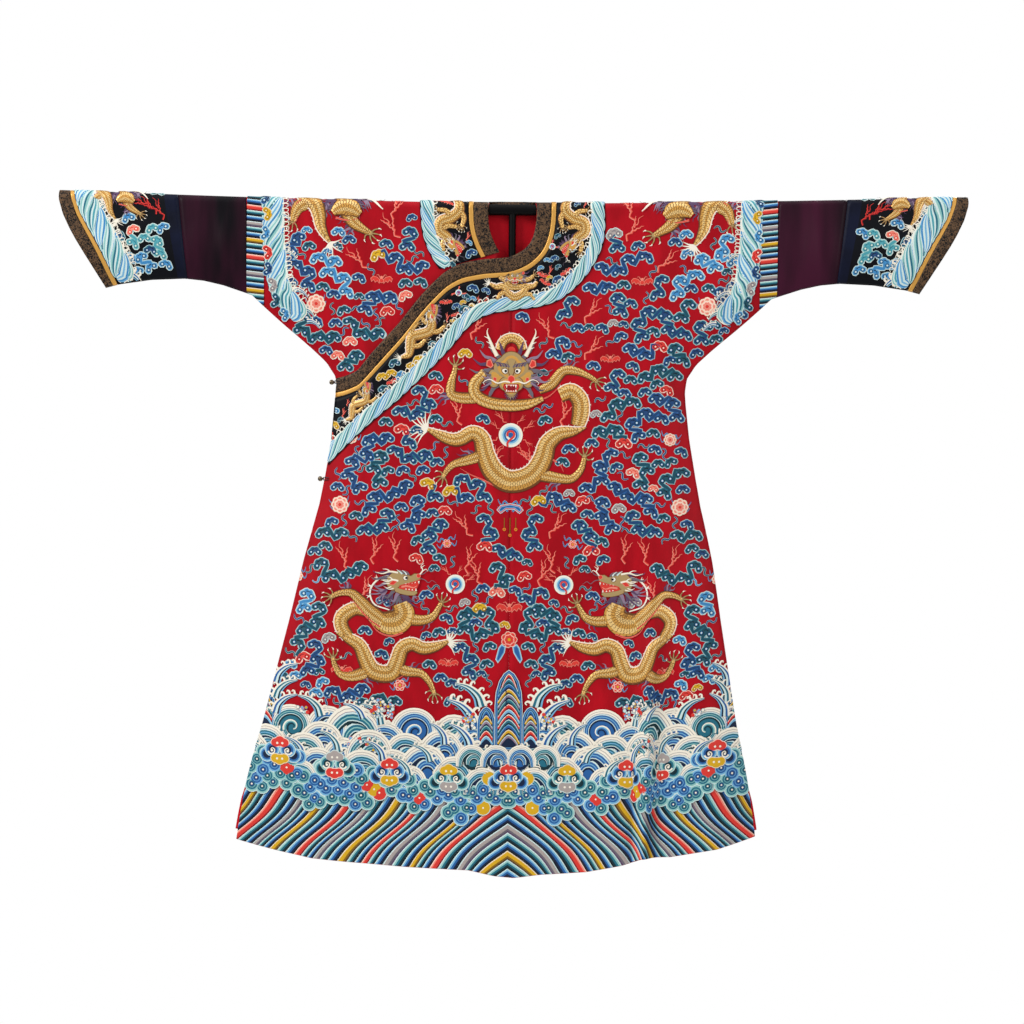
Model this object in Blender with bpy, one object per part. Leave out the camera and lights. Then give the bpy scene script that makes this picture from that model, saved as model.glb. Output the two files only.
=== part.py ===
"""Chinese dragon robe hung flat over a T-bar.

Metres, +Z up. The origin is the centre of the crossbar. +X is the wearer's left, and the
front faces -Y. Every piece of cloth is cut in pattern coordinates: x runs across the robe
from its centre seam, and s runs along the cloth from the fold that lies on the crossbar,
down the front where s is positive and down the back where it is negative.
"""
from collections import namedtuple
from math import cos, exp, hypot, pi, sin

import bmesh
import bpy
from mathutils import Vector

# Driving dimensions
WALL = 0.0020               # satin, interlining and lining together
TRIM_WALL = 0.0012          # collar band pieces
BRAID_WALL = 0.0016
CUFF_WALL = 0.0022
CUFF_TRIM_WALL = 0.0028
SEAM_GAP = 0.0003           # between pieces that are sewn together
LAYER_GAP = 0.0008          # between a panel and what lies on it
CUFF_GAP = 0.0006           # between a cuff and its slanting trims
LAP_STEP = 0.0032           # the lap's height over the underlap
LAP_FLUSH = 0.002           # the lap is level with the other front this far from their seam

BAR_RADIUS = 0.0115
FOLD_RADIUS = 0.0133        # middle of the cloth where it lies on the bar
BAR_HALF_LENGTH = 0.915
BOW_RISE = 0.020            # the bar's ends stand this much over its middle
BOW_AT = 0.94
BOW_POWER = 1.5
POST_RADIUS = 0.0075
POST_FOOT = -0.300

SLEEVE_SEAM_TOP = 0.552     # seam of body and sleeve, on the fold
SLEEVE_SEAM_BOTTOM = 0.541
SLEEVE_SEAM_DEPTH = 0.209
CUFF_SEAM_TOP = 0.695
CUFF_SEAM_BOTTOM = 0.674
CUFF_BRAID = 0.0095
SLEEVE_REACH = {-1: 0.994, 1: 1.006}    # the wearer's left sleeve hangs a little longer

UNDERLAP_EDGE = 0.030       # the underlap stops this far before the centre seam
NECK_DEPTH = 0.1205
NECK_STAND = 0.022          # half width over which the back neck stands straight up
NECK_STAND_FADE = 0.030
LINE_WIDTH = 0.0400         # binding and braid together
BRAID_WIDTH = 0.0092

SEAM_ROUNDING = 0.100       # width over which the front closes on the back at a side seam
BACK_FLARE = 0.006          # the back hem reaches out past the front hem
BACK_FLARE_FROM = 1.15

FOLD_TAKE = 0.047           # width that the hem fold at the wearer's left takes up
FOLD_TAKE_FROM = 0.58
FOLD_TAKE_TO = 1.33
FOLD_TAKE_X = 0.250
FOLD_TAKE_WIDTH = 0.115

BUTTON_RADIUS = 0.0053
BUTTON_REACH = 0.0092       # from the lap's side edge to the ball's centre
SHANK_GAP = 0.0012
SHANK_RADIUS = 0.0013
LOOP_RADIUS = 0.0008
LOOP_OUT = 0.0030           # from the lap's side edge to the loop's far turn

PANEL, COLLAR, LAP = "panel", "collar", "lap"
QUARTER = FOLD_RADIUS * pi / 2
HALF_WALL = WALL / 2
SEAM_DEPTH = HALF_WALL + SEAM_GAP / 2

Edge = namedtuple("Edge", "s x")
Hem = namedtuple("Hem", "x s")
Depth = namedtuple("Depth", "s half")
Mouth = namedtuple("Mouth", "share braid mouth")
Fold = namedtuple("Fold", "name x0 s0 x1 s1 width height to_hem")
Band = namedtuple("Band", "in_x in_s out_x out_s steps line_x line_s", defaults=(None, None))

# Underside of the sleeve, from the seam with the body to the cuff's mouth
SLEEVE_UNDER = (
    Edge(s=0.209, x=0.541), Edge(s=0.191, x=0.600), Edge(s=0.183, x=0.640),
    Edge(s=0.180, x=0.680), Edge(s=0.185, x=0.750), Edge(s=0.197, x=0.818),
    Edge(s=0.205, x=0.845), Edge(s=0.209, x=0.880),
)
# Underarm and side seam, from the sleeve seam to the hem
SIDE = (
    Edge(s=0.209, x=0.541), Edge(s=0.232, x=0.516), Edge(s=0.254, x=0.491),
    Edge(s=0.276, x=0.465), Edge(s=0.297, x=0.439), Edge(s=0.317, x=0.415),
    Edge(s=0.345, x=0.384), Edge(s=0.374, x=0.365), Edge(s=0.402, x=0.361),
    Edge(s=0.430, x=0.363), Edge(s=0.501, x=0.371), Edge(s=0.584, x=0.385),
    Edge(s=0.640, x=0.396), Edge(s=0.754, x=0.427), Edge(s=0.875, x=0.455),
    Edge(s=0.979, x=0.481), Edge(s=1.073, x=0.504), Edge(s=1.145, x=0.523),
    Edge(s=1.251, x=0.549), Edge(s=1.340, x=0.563), Edge(s=1.420, x=0.572),
)
# Half width of the neck hole
NECK = (
    Edge(s=-QUARTER, x=0.0), Edge(s=-0.75 * QUARTER, x=0.046), Edge(s=0.0, x=0.048),
    Edge(s=0.0209, x=0.0505), Edge(s=0.045, x=0.0495), Edge(s=0.071, x=0.045),
    Edge(s=0.090, x=0.037), Edge(s=0.104, x=0.026), Edge(s=0.113, x=0.016),
    Edge(s=NECK_DEPTH, x=0.0),
)
FRONT_HEM = (
    Hem(x=-0.563, s=1.340), Hem(x=-0.406, s=1.372), Hem(x=-0.200, s=1.386),
    Hem(x=-0.080, s=1.389), Hem(x=-0.027, s=1.401), Hem(x=0.014, s=1.405),
    Hem(x=0.068, s=1.398), Hem(x=0.162, s=1.393), Hem(x=0.239, s=1.379),
    Hem(x=0.285, s=1.366), Hem(x=0.385, s=1.364), Hem(x=0.480, s=1.350),
    Hem(x=0.563, s=1.326),
)
BACK_HEM = (
    Hem(x=-0.570, s=1.318), Hem(x=-0.400, s=1.356), Hem(x=-0.200, s=1.374),
    Hem(x=0.0, s=1.380), Hem(x=0.200, s=1.374), Hem(x=0.400, s=1.356),
    Hem(x=0.570, s=1.312),
)
# Upper edge of the lap, from the neck to the wearer's right side
LAP_TOP = (
    Hem(x=-0.3630, s=0.3780), Hem(x=-0.3400, s=0.3720), Hem(x=-0.3166, s=0.3590),
    Hem(x=-0.2856, s=0.3200), Hem(x=-0.2308, s=0.2580), Hem(x=-0.1839, s=0.1980),
    Hem(x=-0.1490, s=0.1620), Hem(x=-0.1285, s=0.1465), Hem(x=-0.1060, s=0.1355),
    Hem(x=-0.0735, s=0.1275), Hem(x=-0.0415, s=0.1240), Hem(x=0.0, s=NECK_DEPTH),
)
# Half of the robe's depth from front to back
DEPTH = (
    Depth(s=0.0, half=FOLD_RADIUS), Depth(s=QUARTER, half=FOLD_RADIUS),
    Depth(s=0.20, half=0.0160), Depth(s=0.50, half=0.0200),
    Depth(s=0.90, half=0.0240), Depth(s=1.42, half=0.0270),
)
# The cuff's braid and its mouth, by the share of the sleeve's depth
MOUTH = (
    Mouth(share=0.0, braid=0.911, mouth=0.942), Mouth(share=0.12, braid=0.907, mouth=0.943),
    Mouth(share=0.27, braid=0.896, mouth=0.934), Mouth(share=0.41, braid=0.880, mouth=0.920),
    Mouth(share=0.52, braid=0.867, mouth=0.907), Mouth(share=0.64, braid=0.854, mouth=0.891),
    Mouth(share=0.76, braid=0.842, mouth=0.875), Mouth(share=1.0, braid=0.820, mouth=0.845),
)
# Largest folds: soft ridges and, where the height is negative, troughs
FRONT_FOLDS = (
    Fold("hem_left", 0.306, 0.66, 0.300, 1.40, 0.030, 0.022, True),
    Fold("hem_left_inner", 0.200, 0.86, 0.222, 1.40, 0.034, 0.006, True),
    Fold("skirt_right", -0.270, 0.80, -0.350, 1.40, 0.045, 0.007, True),
    Fold("skirt_middle", -0.070, 0.92, -0.090, 1.40, 0.050, 0.005, True),
    Fold("armpit_left", 0.482, 0.070, 0.440, 0.262, 0.014, -0.005, False),
    Fold("armpit_left_ridge", 0.452, 0.080, 0.412, 0.280, 0.016, 0.005, False),
    Fold("armpit_right", -0.470, 0.110, -0.425, 0.290, 0.018, 0.005, False),
)
BACK_FOLDS = (
    Fold("hem_left", 0.306, 0.70, 0.310, 1.40, 0.032, 0.018, True),
    Fold("back_left", 0.120, 0.62, 0.150, 1.40, 0.050, 0.008, True),
    Fold("back_right", -0.190, 0.70, -0.240, 1.40, 0.046, 0.009, True),
    Fold("armpit_left", 0.470, 0.080, 0.430, 0.275, 0.018, 0.005, False),
    Fold("armpit_right", -0.462, 0.090, -0.428, 0.270, 0.016, 0.005, False),
)
# The collar band: its inner edge, its outer edge, the steps up to the next row, and where the
# binding ends when that isn't on the straight line between the two
BAND_UNDER = (
    Band(-0.0260, 0.110, -0.151, 0.147, 2), Band(-0.0360, 0.092, -0.170, 0.118, 2),
    Band(-0.0450, 0.070, -0.184, 0.084, 2), Band(-0.0495, 0.045, -0.190, 0.050, 2),
)
BAND_SHOULDER = (
    Band(0.0505, 0.0209, 0.192, 0.0209, 4, 0.0905, 0.0209),
    Band(0.0482, 0.0, 0.192, 0.0, 4, 0.0900, 0.0),
    Band(0.0420, -0.0014, 0.190, -0.0209, 3, 0.0800, -0.0209),
    Band(0.0340, -0.0017, 0.178, -0.070, 3, 0.0660, -0.0340),
    Band(0.0200, -0.0020, 0.133, -0.118, 2, 0.0400, -0.0410),
)
BAND_BACK = Band(0.0, -0.0020, 0.0, -0.143, 2, 0.0, -0.0420)
BAND_LAP = (
    Band(0.0495, 0.045, 0.193, 0.067, 2), Band(0.0450, 0.071, 0.183, 0.111, 2),
    Band(0.0370, 0.090, 0.152, 0.163, 2), Band(0.0240, 0.104, 0.105, 0.206, 2),
    Band(0.0080, 0.114, 0.060, 0.223, 1), Band(-0.0100, 0.1205, 0.017, 0.229, 1),
    Band(-0.0340, 0.1232, -0.016, 0.234, 1), Band(-0.0600, 0.1255, -0.044, 0.240, 1),
    Band(-0.0850, 0.1300, -0.070, 0.252, 1), Band(-0.1060, 0.1355, -0.092, 0.271, 1),
    Band(-0.1285, 0.1465, -0.108, 0.290, 1), Band(-0.1490, 0.1620, -0.124, 0.310, 1),
    Band(-0.1839, 0.1980, -0.154, 0.343, 1), Band(-0.2080, 0.2280, -0.178, 0.368, 1),
    Band(-0.2308, 0.2580, -0.203, 0.392, 1), Band(-0.2580, 0.2890, -0.229, 0.418, 1),
    Band(-0.2856, 0.3200, -0.256, 0.441, 1), Band(-0.3030, 0.3420, -0.281, 0.463, 1),
    Band(-0.3166, 0.3590, -0.306, 0.486, 1), Band(-0.3300, 0.3672, -0.328, 0.508, 1),
    Band(-0.3450, 0.3735, -0.350, 0.530, 1), Band(-0.3625, 0.3780, -0.3775, 0.559, 0),
)

# Where the rows of the body's grid lie, down the front and down the back
FRONT_ROWS = (
    0.0209, 0.045, 0.071, 0.090, 0.104, 0.113, NECK_DEPTH, 0.126, 0.160, 0.190, 0.209, 0.232,
    0.254, 0.276, 0.297, 0.317, 0.345, 0.374, 0.402, 0.450, 0.515, 0.584, 0.660, 0.754,
    0.860, 0.960, 1.060, 1.145, 1.230, 1.310, 1.380,
)
BACK_ROWS = (
    0.0209, 0.045, 0.075, 0.110, 0.160, 0.209, 0.232, 0.254, 0.276, 0.297, 0.317, 0.345, 0.374,
    0.402, 0.450, 0.515, 0.584, 0.660, 0.754, 0.860, 0.960, 1.060, 1.145, 1.230, 1.310, 1.380,
)
COLUMNS = (0.0, 0.08, 0.17, 0.27, 0.37, 0.47, 0.56, 0.65, 0.74, 0.82, 0.89, 0.95, 1.0)
WRAP_STEPS = 4              # grid steps over each quarter of the bar
RING_SHARES = (0.14, 0.30, 0.46, 0.62, 0.77, 0.90, 1.0)
RING_FOOT = 0.0030          # last row of a sleeve's side over its bottom fold
PROBE = 0.0008              # half the length over which a slope is read
HEM_BLEND_FROM = 0.402      # rows bend towards the hem's own curve below this


def between(table, key, value, at):
    """Reads a table's value column at a place in its key column, which rises."""
    if at <= getattr(table[0], key):
        return getattr(table[0], value)
    for low, high in zip(table, table[1:]):
        start = getattr(low, key)
        end = getattr(high, key)
        if at <= end:
            share = (at - start) / (end - start)
            return getattr(low, value) * (1 - share) + getattr(high, value) * share
    return getattr(table[-1], value)


def smooth(share):
    """Eases from 0 to 1."""
    share = min(max(share, 0.0), 1.0)
    return share * share * (3 - 2 * share)


def segment_distance(x, s, x0, s0, x1, s1):
    """Distance from a point to a straight line piece, and how far along the piece it lies."""
    length = hypot(x1 - x0, s1 - s0)
    along = ((x - x0) * (x1 - x0) + (s - s0) * (s1 - s0)) / length ** 2
    along = min(max(along, 0.0), 1.0)
    return hypot(x - x0 - along * (x1 - x0), s - s0 - along * (s1 - s0)), along


def edge_distance(x, s):
    """Distance to the closed edge: the sleeve's underside, the underarm and the side seam."""
    return min(
        segment_distance(x, s, a.x, a.s, b.x, b.s)[0]
        for edge in (SLEEVE_UNDER, SIDE)
        for a, b in zip(edge, edge[1:])
    )


def fold_height(x, s):
    """Height of the largest folds over the flat cloth."""
    height = 0.0
    for fold in FRONT_FOLDS if s > 0 else BACK_FOLDS:
        away, along = segment_distance(x, abs(s), fold.x0, fold.s0, fold.x1, fold.s1)
        fade = smooth(along / 0.5) if fold.to_hem else sin(pi * along)
        height += fold.height * fade * exp(-(away / fold.width) ** 2)
    return height


def half_depth(x, s, layer):
    """Depth of the cloth's middle in front of or behind the bar's plane."""
    closing = min(edge_distance(abs(x), abs(s)) / SEAM_ROUNDING, 1.0)
    closing = 1 - (1 - closing) ** 2
    full = between(DEPTH, "s", "half", abs(s))
    under_lap = layer == PANEL and x < 0 < s - between(LAP_TOP, "x", "s", x)
    if abs(s) > QUARTER and not under_lap:
        full += fold_height(x, s)
    depth = SEAM_DEPTH + (full - SEAM_DEPTH) * closing
    if layer == LAP and x < 0:
        depth += LAP_STEP * smooth((-x - LAP_FLUSH) / (UNDERLAP_EDGE - 2 * LAP_FLUSH))
    return depth


def cloth_point(x, s, layer=PANEL):
    """Place of a pattern point on the middle of the hung cloth.

    The layer COLLAR stands up by itself behind the neck, and LAP also lies over the underlap.
    """
    run = abs(s)
    side = -1.0 if s >= 0 else 1.0
    angle = min(run, QUARTER) / FOLD_RADIUS
    y = side * (FOLD_RADIUS * sin(angle) + half_depth(x, s, layer) - FOLD_RADIUS)
    z = FOLD_RADIUS * cos(angle) - max(run - QUARTER, 0.0)
    if layer != PANEL and s < 0 and run < QUARTER:
        stand = 1 - smooth((abs(x) - NECK_STAND) / NECK_STAND_FADE)
        y += stand * (FOLD_RADIUS - y)
        z += stand * (QUARTER - run - z)
    z += BOW_RISE * (abs(x) / BOW_AT) ** BOW_POWER
    if x > 0:
        take = FOLD_TAKE * smooth((run - FOLD_TAKE_FROM) / (FOLD_TAKE_TO - FOLD_TAKE_FROM))
        x -= take * smooth((x - FOLD_TAKE_X) / FOLD_TAKE_WIDTH)
    return Vector((x, y, z))


def cloth_normal(x, s, layer):
    """Outward direction of a layer at a pattern point."""
    down = cloth_point(x, s + PROBE, layer) - cloth_point(x, s - PROBE, layer)
    across = cloth_point(x + PROBE, s, layer) - cloth_point(x - PROBE, s, layer)
    return down.cross(across).normalized()


def grid_normals(points, wrapped):
    """Outward normals of a grid of points, from its neighbours along and across."""
    rows = len(points)
    columns = len(points[0])
    normals = []
    for r in range(rows):
        line = []
        for c in range(columns):
            down = points[min(r + 1, rows - 1)][c] - points[max(r - 1, 0)][c]
            if wrapped:
                down = points[(r + 1) % rows][c] - points[r - 1][c]
            across = points[r][min(c + 1, columns - 1)] - points[r][max(c - 1, 0)]
            line.append(down.cross(across).normalized())
        normals.append(line)
    return normals


def material(name, colour, roughness, metallic=0.0):
    """A Principled material for one kind of cloth or metal."""
    made = bpy.data.materials.get(name)
    if made is None:
        made = bpy.data.materials.new(name)
        made.use_nodes = True
        shader = made.node_tree.nodes["Principled BSDF"]
        shader.inputs["Base Color"].default_value = (*colour, 1.0)
        shader.inputs["Roughness"].default_value = roughness
        shader.inputs["Metallic"].default_value = metallic
    return made


def finish(name, bm, made_of):
    """Turns a bmesh into a named object, with its faces pointing out."""
    bmesh.ops.recalc_face_normals(bm, faces=bm.faces)
    if bm.calc_volume(signed=True) < 0:
        bmesh.ops.reverse_faces(bm, faces=bm.faces)
    mesh = bpy.data.meshes.new(name)
    bm.to_mesh(mesh)
    bm.free()
    piece = bpy.data.objects.new(name, mesh)
    piece.data.materials.append(made_of)
    bpy.context.collection.objects.link(piece)
    return piece


def wall(name, points, made_of, thickness, lift=0.0, wrapped=False, normals=None):
    """Closed wall of cloth through a grid of points, moved out by lift along its normals.

    points holds rows from the back over the bar to the front, each from -X to +X. A wrapped
    grid's last row joins its first, so that the wall is a tube.
    """
    normals = normals or grid_normals(points, wrapped)
    rows = len(points) + (1 if wrapped else 0)
    columns = len(points[0])
    bm = bmesh.new()
    bmesh.ops.create_grid(bm, x_segments=columns - 1, y_segments=rows - 1, size=1.0)
    place = bm.verts.layers.int.new("place")
    for vert in bm.verts:
        column = round((vert.co.x + 1) / 2 * (columns - 1))
        row = round((vert.co.y + 1) / 2 * (rows - 1))
        vert[place] = (row % len(points)) * columns + column
    for vert in bm.verts:
        row, column = divmod(vert[place], columns)
        vert.co = points[row][column] + normals[row][column] * (lift + thickness / 2)
    if wrapped:
        bmesh.ops.remove_doubles(bm, verts=bm.verts, dist=1e-6)
    grown = bmesh.ops.extrude_face_region(bm, geom=bm.faces[:], use_keep_orig=True)
    for vert in grown["geom"]:
        if isinstance(vert, bmesh.types.BMVert):
            row, column = divmod(vert[place], columns)
            vert.co = points[row][column] + normals[row][column] * (lift - thickness / 2)
    return finish(name, bm, made_of)


def hem_at(x, s):
    """Bends a row towards the hem's own curve as it nears the hem."""
    run = abs(s)
    if run <= HEM_BLEND_FROM:
        return s
    table = FRONT_HEM if s > 0 else BACK_HEM
    last = (FRONT_ROWS if s > 0 else BACK_ROWS)[-1]
    run += (between(table, "x", "s", x) - last) * (run - HEM_BLEND_FROM) / (last - HEM_BLEND_FROM)
    return run if s > 0 else -run


def side_at(s):
    """Half width of the body at a row, out to the sleeve seam or the side seam."""
    run = abs(s)
    if run < SLEEVE_SEAM_DEPTH:
        return SLEEVE_SEAM_TOP + (SLEEVE_SEAM_BOTTOM - SLEEVE_SEAM_TOP) * run / SLEEVE_SEAM_DEPTH
    flare = BACK_FLARE * smooth((run - BACK_FLARE_FROM) / 0.15) if s < 0 else 0.0
    return between(SIDE, "s", "x", run) + flare


def body_half(name, side, made_of):
    """Back, shoulder, upper sleeve and front in one length, for side 1 (left) or -1 (right)."""
    wrap = [QUARTER * step / WRAP_STEPS for step in range(WRAP_STEPS)]
    rows = [-s for s in reversed(BACK_ROWS)] + [-s for s in reversed(wrap[1:])] + wrap
    points = []
    for s in rows + list(FRONT_ROWS):
        inner = between(NECK, "s", "x", s)
        if inner <= 0:
            inner = UNDERLAP_EDGE if side < 0 < s else SEAM_GAP / 2
        outer = side_at(hem_at(side * side_at(s), s))
        line = []
        for share in COLUMNS:
            x = side * (inner + (outer - inner) * share)
            line.append(cloth_point(x, hem_at(x, s)))
        points.append(line if side > 0 else line[::-1])
    return wall(name, points, made_of, WALL)


def outer_lap(made_of):
    """The front from the centre seam to the wearer's right side, under its curved top edge."""
    side_top = LAP_TOP[0]
    side_foot = FRONT_HEM[0]
    levels = [side_top.s] + [abs(hem_at(side_foot.x, s)) for s in FRONT_ROWS if s > side_top.s]
    points = []
    for level in levels:
        drop = (level - side_top.s) / (side_foot.s - side_top.s)
        reach = between(SIDE, "s", "x", level)
        line = []
        for share in reversed(COLUMNS):
            top = between(LAP_TOP, "x", "s", side_top.x * share)
            hem = between(FRONT_HEM, "x", "s", side_foot.x * share)
            x = -SEAM_GAP / 2 - (reach - SEAM_GAP / 2) * share
            line.append(cloth_point(x, top + (hem - top) * drop, LAP))
        points.append(line)
    return wall("outer_lap", points, made_of, WALL)


def band_rows():
    """Stations of the collar band, from under the lap round the neck and down the lap's edge.

    Each holds its layer, and the pattern points of its inner edge, the binding's end and its
    outer edge.
    """
    right = [row._replace(in_x=-row.in_x, out_x=-row.out_x, line_x=-row.line_x)
             for row in BAND_SHOULDER]
    left = BAND_SHOULDER[::-1]
    counts = [row.steps for row in left[1:]] + [2]
    keys = list(BAND_UNDER) + right + [BAND_BACK]
    keys += [row._replace(steps=count) for row, count in zip(left, counts)]
    lap_from = len(keys)
    keys += BAND_LAP
    lines = []
    for row in keys:
        inner = Vector((row.in_x, row.in_s))
        outer = Vector((row.out_x, row.out_s))
        line = inner + (outer - inner).normalized() * LINE_WIDTH
        if row.line_x is not None:
            line = Vector((row.line_x, row.line_s))
        lines.append((inner, line, outer))
    stations = []
    for place, (row, near, far) in enumerate(zip(keys, lines, lines[1:])):
        layer = LAP if place >= lap_from else COLLAR
        for step in range(row.steps):
            stations.append((layer, *[a.lerp(b, step / row.steps) for a, b in zip(near, far)]))
    return stations + [(LAP, *lines[-1])]


def band_piece(name, made_of, facing, low, high, columns, thickness):
    """One strip of the collar band, on its binding side or its facing side.

    low and high are its distances from that side's near and far edge. A low under 0 is
    measured back from the far edge.
    """
    points = []
    normals = []
    for layer, inner, line, outer in band_rows():
        start = line if facing else inner
        end = outer if facing else line
        length = (end - start).length
        near = (low if low >= 0 else length + low) / length
        far = 1 - high / length
        across = [start.lerp(end, near + (far - near) * c / columns) for c in range(columns + 1)]
        points.append([cloth_point(x, s, layer) for x, s in across])
        normals.append([cloth_normal(x, s, layer) for x, s in across])
    lift = HALF_WALL + LAYER_GAP + thickness / 2
    return wall(name, points, made_of, thickness, lift, normals=normals)


def ring_runs(x):
    """Distances down the side of a sleeve at x, from the bar to just over its bottom fold."""
    foot = between(SLEEVE_UNDER, "x", "s", x) - RING_FOOT
    wrap = [QUARTER * step / WRAP_STEPS for step in range(WRAP_STEPS + 1)]
    return wrap + [QUARTER + (foot - QUARTER) * share for share in RING_SHARES]


def ring_piece(name, side, inner, outer, columns, made_of, thickness):
    """Tube of the sleeve between two edges, each a function of the share of its depth."""
    count = len(ring_runs(SLEEVE_SEAM_TOP))
    columns_of_points = []
    for column in range(columns + 1):
        along = column / columns
        ring = []
        for index in list(range(count)) + [count]:
            x = SLEEVE_SEAM_TOP
            for _ in range(3):
                depth = between(SLEEVE_UNDER, "x", "s", x)
                run = ring_runs(x)[index] if index < count else depth
                share = run / depth
                x = inner(share) * (1 - along) + outer(share) * along
            ring.append((x, run))
        columns_of_points.append(ring)
    rows = []
    order = [(index, 1) for index in range(count)] + [(count, 0)]
    order += [(index, -1) for index in reversed(range(1, count))]
    for index, face in order:
        line = []
        for ring in columns_of_points:
            x, run = ring[index]
            point = cloth_point(side * x, run * face if face else run)
            if face == 0:
                point.y = 0.0
            stretch = (x - SLEEVE_SEAM_TOP) * (SLEEVE_REACH[side] - 1)
            point.x += side * stretch
            line.append(point)
        rows.append(line if side > 0 else line[::-1])
    return wall(name, rows, made_of, thickness, wrapped=True)


def sleeve_seam(share):
    return SLEEVE_SEAM_TOP + (SLEEVE_SEAM_BOTTOM - SLEEVE_SEAM_TOP) * share


def cuff_seam(share):
    return CUFF_SEAM_TOP + (CUFF_SEAM_BOTTOM - CUFF_SEAM_TOP) * share


def cuff_braid_edge(share):
    return between(MOUTH, "share", "braid", share)


def cuff_mouth(share):
    return between(MOUTH, "share", "mouth", share)


def shifted(edge, by):
    """The same edge, moved out along the sleeve."""
    return lambda share: edge(share) + by


def sleeve(side, name):
    """Sleeve length, cuff, and the cuff's braid and binding, sewn end to end."""
    gap = CUFF_GAP
    silk = material("aubergine_silk", (0.028, 0.008, 0.014), 0.55)
    satin = material("black_satin", (0.008, 0.009, 0.018), 0.4)
    braid = material("gold_braid", (0.55, 0.33, 0.07), 0.45, 0.3)
    brocade = material("brown_brocade", (0.09, 0.05, 0.03), 0.6)
    braid_end = shifted(cuff_braid_edge, CUFF_BRAID)
    ring_piece("sleeve_" + name, side, shifted(sleeve_seam, SEAM_GAP), cuff_seam, 3, silk, WALL)
    ring_piece("cuff_" + name, side, shifted(cuff_seam, SEAM_GAP), cuff_braid_edge, 5, satin,
               CUFF_WALL)
    ring_piece("cuff_braid_" + name, side, shifted(cuff_braid_edge, gap), braid_end, 1, braid,
               CUFF_TRIM_WALL)
    ring_piece("cuff_binding_" + name, side, shifted(braid_end, gap), cuff_mouth, 2, brocade,
               CUFF_TRIM_WALL)


def button(name, s, under):
    """Ball button on its shank at the lap's side edge, and the cord loop round the shank.

    The loop's legs lie on the lap, which with its trims stands out by under from its middle.
    """
    brass = material("brass", (0.16, 0.12, 0.06), 0.35, 1.0)
    cord = material("silk_cord", (0.012, 0.012, 0.02), 0.6)
    edge = cloth_point(-between(SIDE, "s", "x", s), s, LAP)
    ball = Vector((edge.x - BUTTON_REACH, 0.0, edge.z))
    bm = bmesh.new()
    steps = 8
    profile = [Vector((-BUTTON_RADIUS * cos(pi * i / steps), 0, BUTTON_RADIUS * sin(pi * i / steps)))
               for i in range(steps)]
    shank_end = BUTTON_REACH - SHANK_GAP
    profile[-1] = Vector(((BUTTON_RADIUS ** 2 - SHANK_RADIUS ** 2) ** 0.5, 0, SHANK_RADIUS))
    profile += [Vector((shank_end, 0, SHANK_RADIUS)), Vector((shank_end, 0, 0))]
    verts = [bm.verts.new(point) for point in profile]
    edges = [bm.edges.new(pair) for pair in zip(verts, verts[1:])]
    bmesh.ops.spin(bm, geom=verts + edges, cent=(0, 0, 0), axis=(1, 0, 0), angle=2 * pi,
                   steps=12, use_merge=True)
    bmesh.ops.remove_doubles(bm, verts=bm.verts, dist=1e-6)
    bmesh.ops.translate(bm, verts=bm.verts, vec=ball)
    finish("button_" + name, bm, brass)

    ring = SHANK_RADIUS + LOOP_RADIUS + 2 * SEAM_GAP
    lying = under + LAYER_GAP + LOOP_RADIUS
    legs = {-1: [], 1: []}
    for way, leg in legs.items():
        for inward, spread in ((0.009, 0.0017), (0.004, 0.0022), (-0.0014, 0.0030)):
            at = s + way * spread
            on = cloth_point(-between(SIDE, "s", "x", at) + max(inward, 0.0), at, LAP)
            leg.append(Vector((on.x + min(inward, 0.0), on.y - lying, on.z)))
    turns = [pi * step / 6 for step in (2, 4, 6, 8, 10)]
    route = legs[-1]
    route += [Vector((edge.x - LOOP_OUT, -ring * cos(turn), edge.z + ring * sin(turn) * 1.15))
              for turn in turns]
    route += legs[1][::-1]
    eased = [route[0]]
    for near, far in zip(route, route[1:]):
        eased += [near.lerp(far, 0.25), near.lerp(far, 0.75)]
    route = eased + [route[-1]]
    curve = bpy.data.curves.new("loop_" + name, "CURVE")
    curve.dimensions = "3D"
    curve.bevel_depth = LOOP_RADIUS
    curve.bevel_resolution = 1
    curve.use_fill_caps = True
    curve.render_resolution_u = 0
    spline = curve.splines.new("POLY")
    spline.points.add(len(route) - 1)
    for point, place in zip(spline.points, route):
        point.co = (*place, 1.0)
    loop = bpy.data.objects.new("loop_" + name, curve)
    loop.data.materials.append(cord)
    bpy.context.collection.objects.link(loop)


def t_bar():
    """Crossbar bowed up a little at its ends, with a short post at its middle."""
    paint = material("black_paint", (0.006, 0.006, 0.007), 0.3)
    stations = 12
    sides = 16
    bm = bmesh.new()
    rings = []
    for station in range(-stations, stations + 1):
        x = BAR_HALF_LENGTH * station / stations
        made = bmesh.ops.create_circle(bm, cap_ends=abs(station) == stations, segments=sides,
                                       radius=BAR_RADIUS)
        rise = BOW_RISE * (abs(x) / BOW_AT) ** BOW_POWER
        for vert in made["verts"]:
            vert.co = Vector((x, vert.co.x, vert.co.y + rise))
        rings.append(made["verts"])
    for near, far in zip(rings, rings[1:]):
        for i in range(sides):
            j = (i + 1) % sides
            bm.faces.new((near[i], near[j], far[j], far[i]))
    bar = finish("t_bar", bm, paint)

    bm = bmesh.new()
    length = -POST_FOOT
    bmesh.ops.create_cone(bm, cap_ends=True, segments=sides, radius1=POST_RADIUS,
                          radius2=POST_RADIUS, depth=length)
    bmesh.ops.translate(bm, verts=bm.verts, vec=(0, 0, -length / 2))
    post = finish("post_shape", bm, paint)
    post.hide_render = True
    post.display_type = "WIRE"
    join = bar.modifiers.new("post", "BOOLEAN")
    join.operation = "UNION"
    join.solver = "EXACT"
    join.object = post


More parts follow.
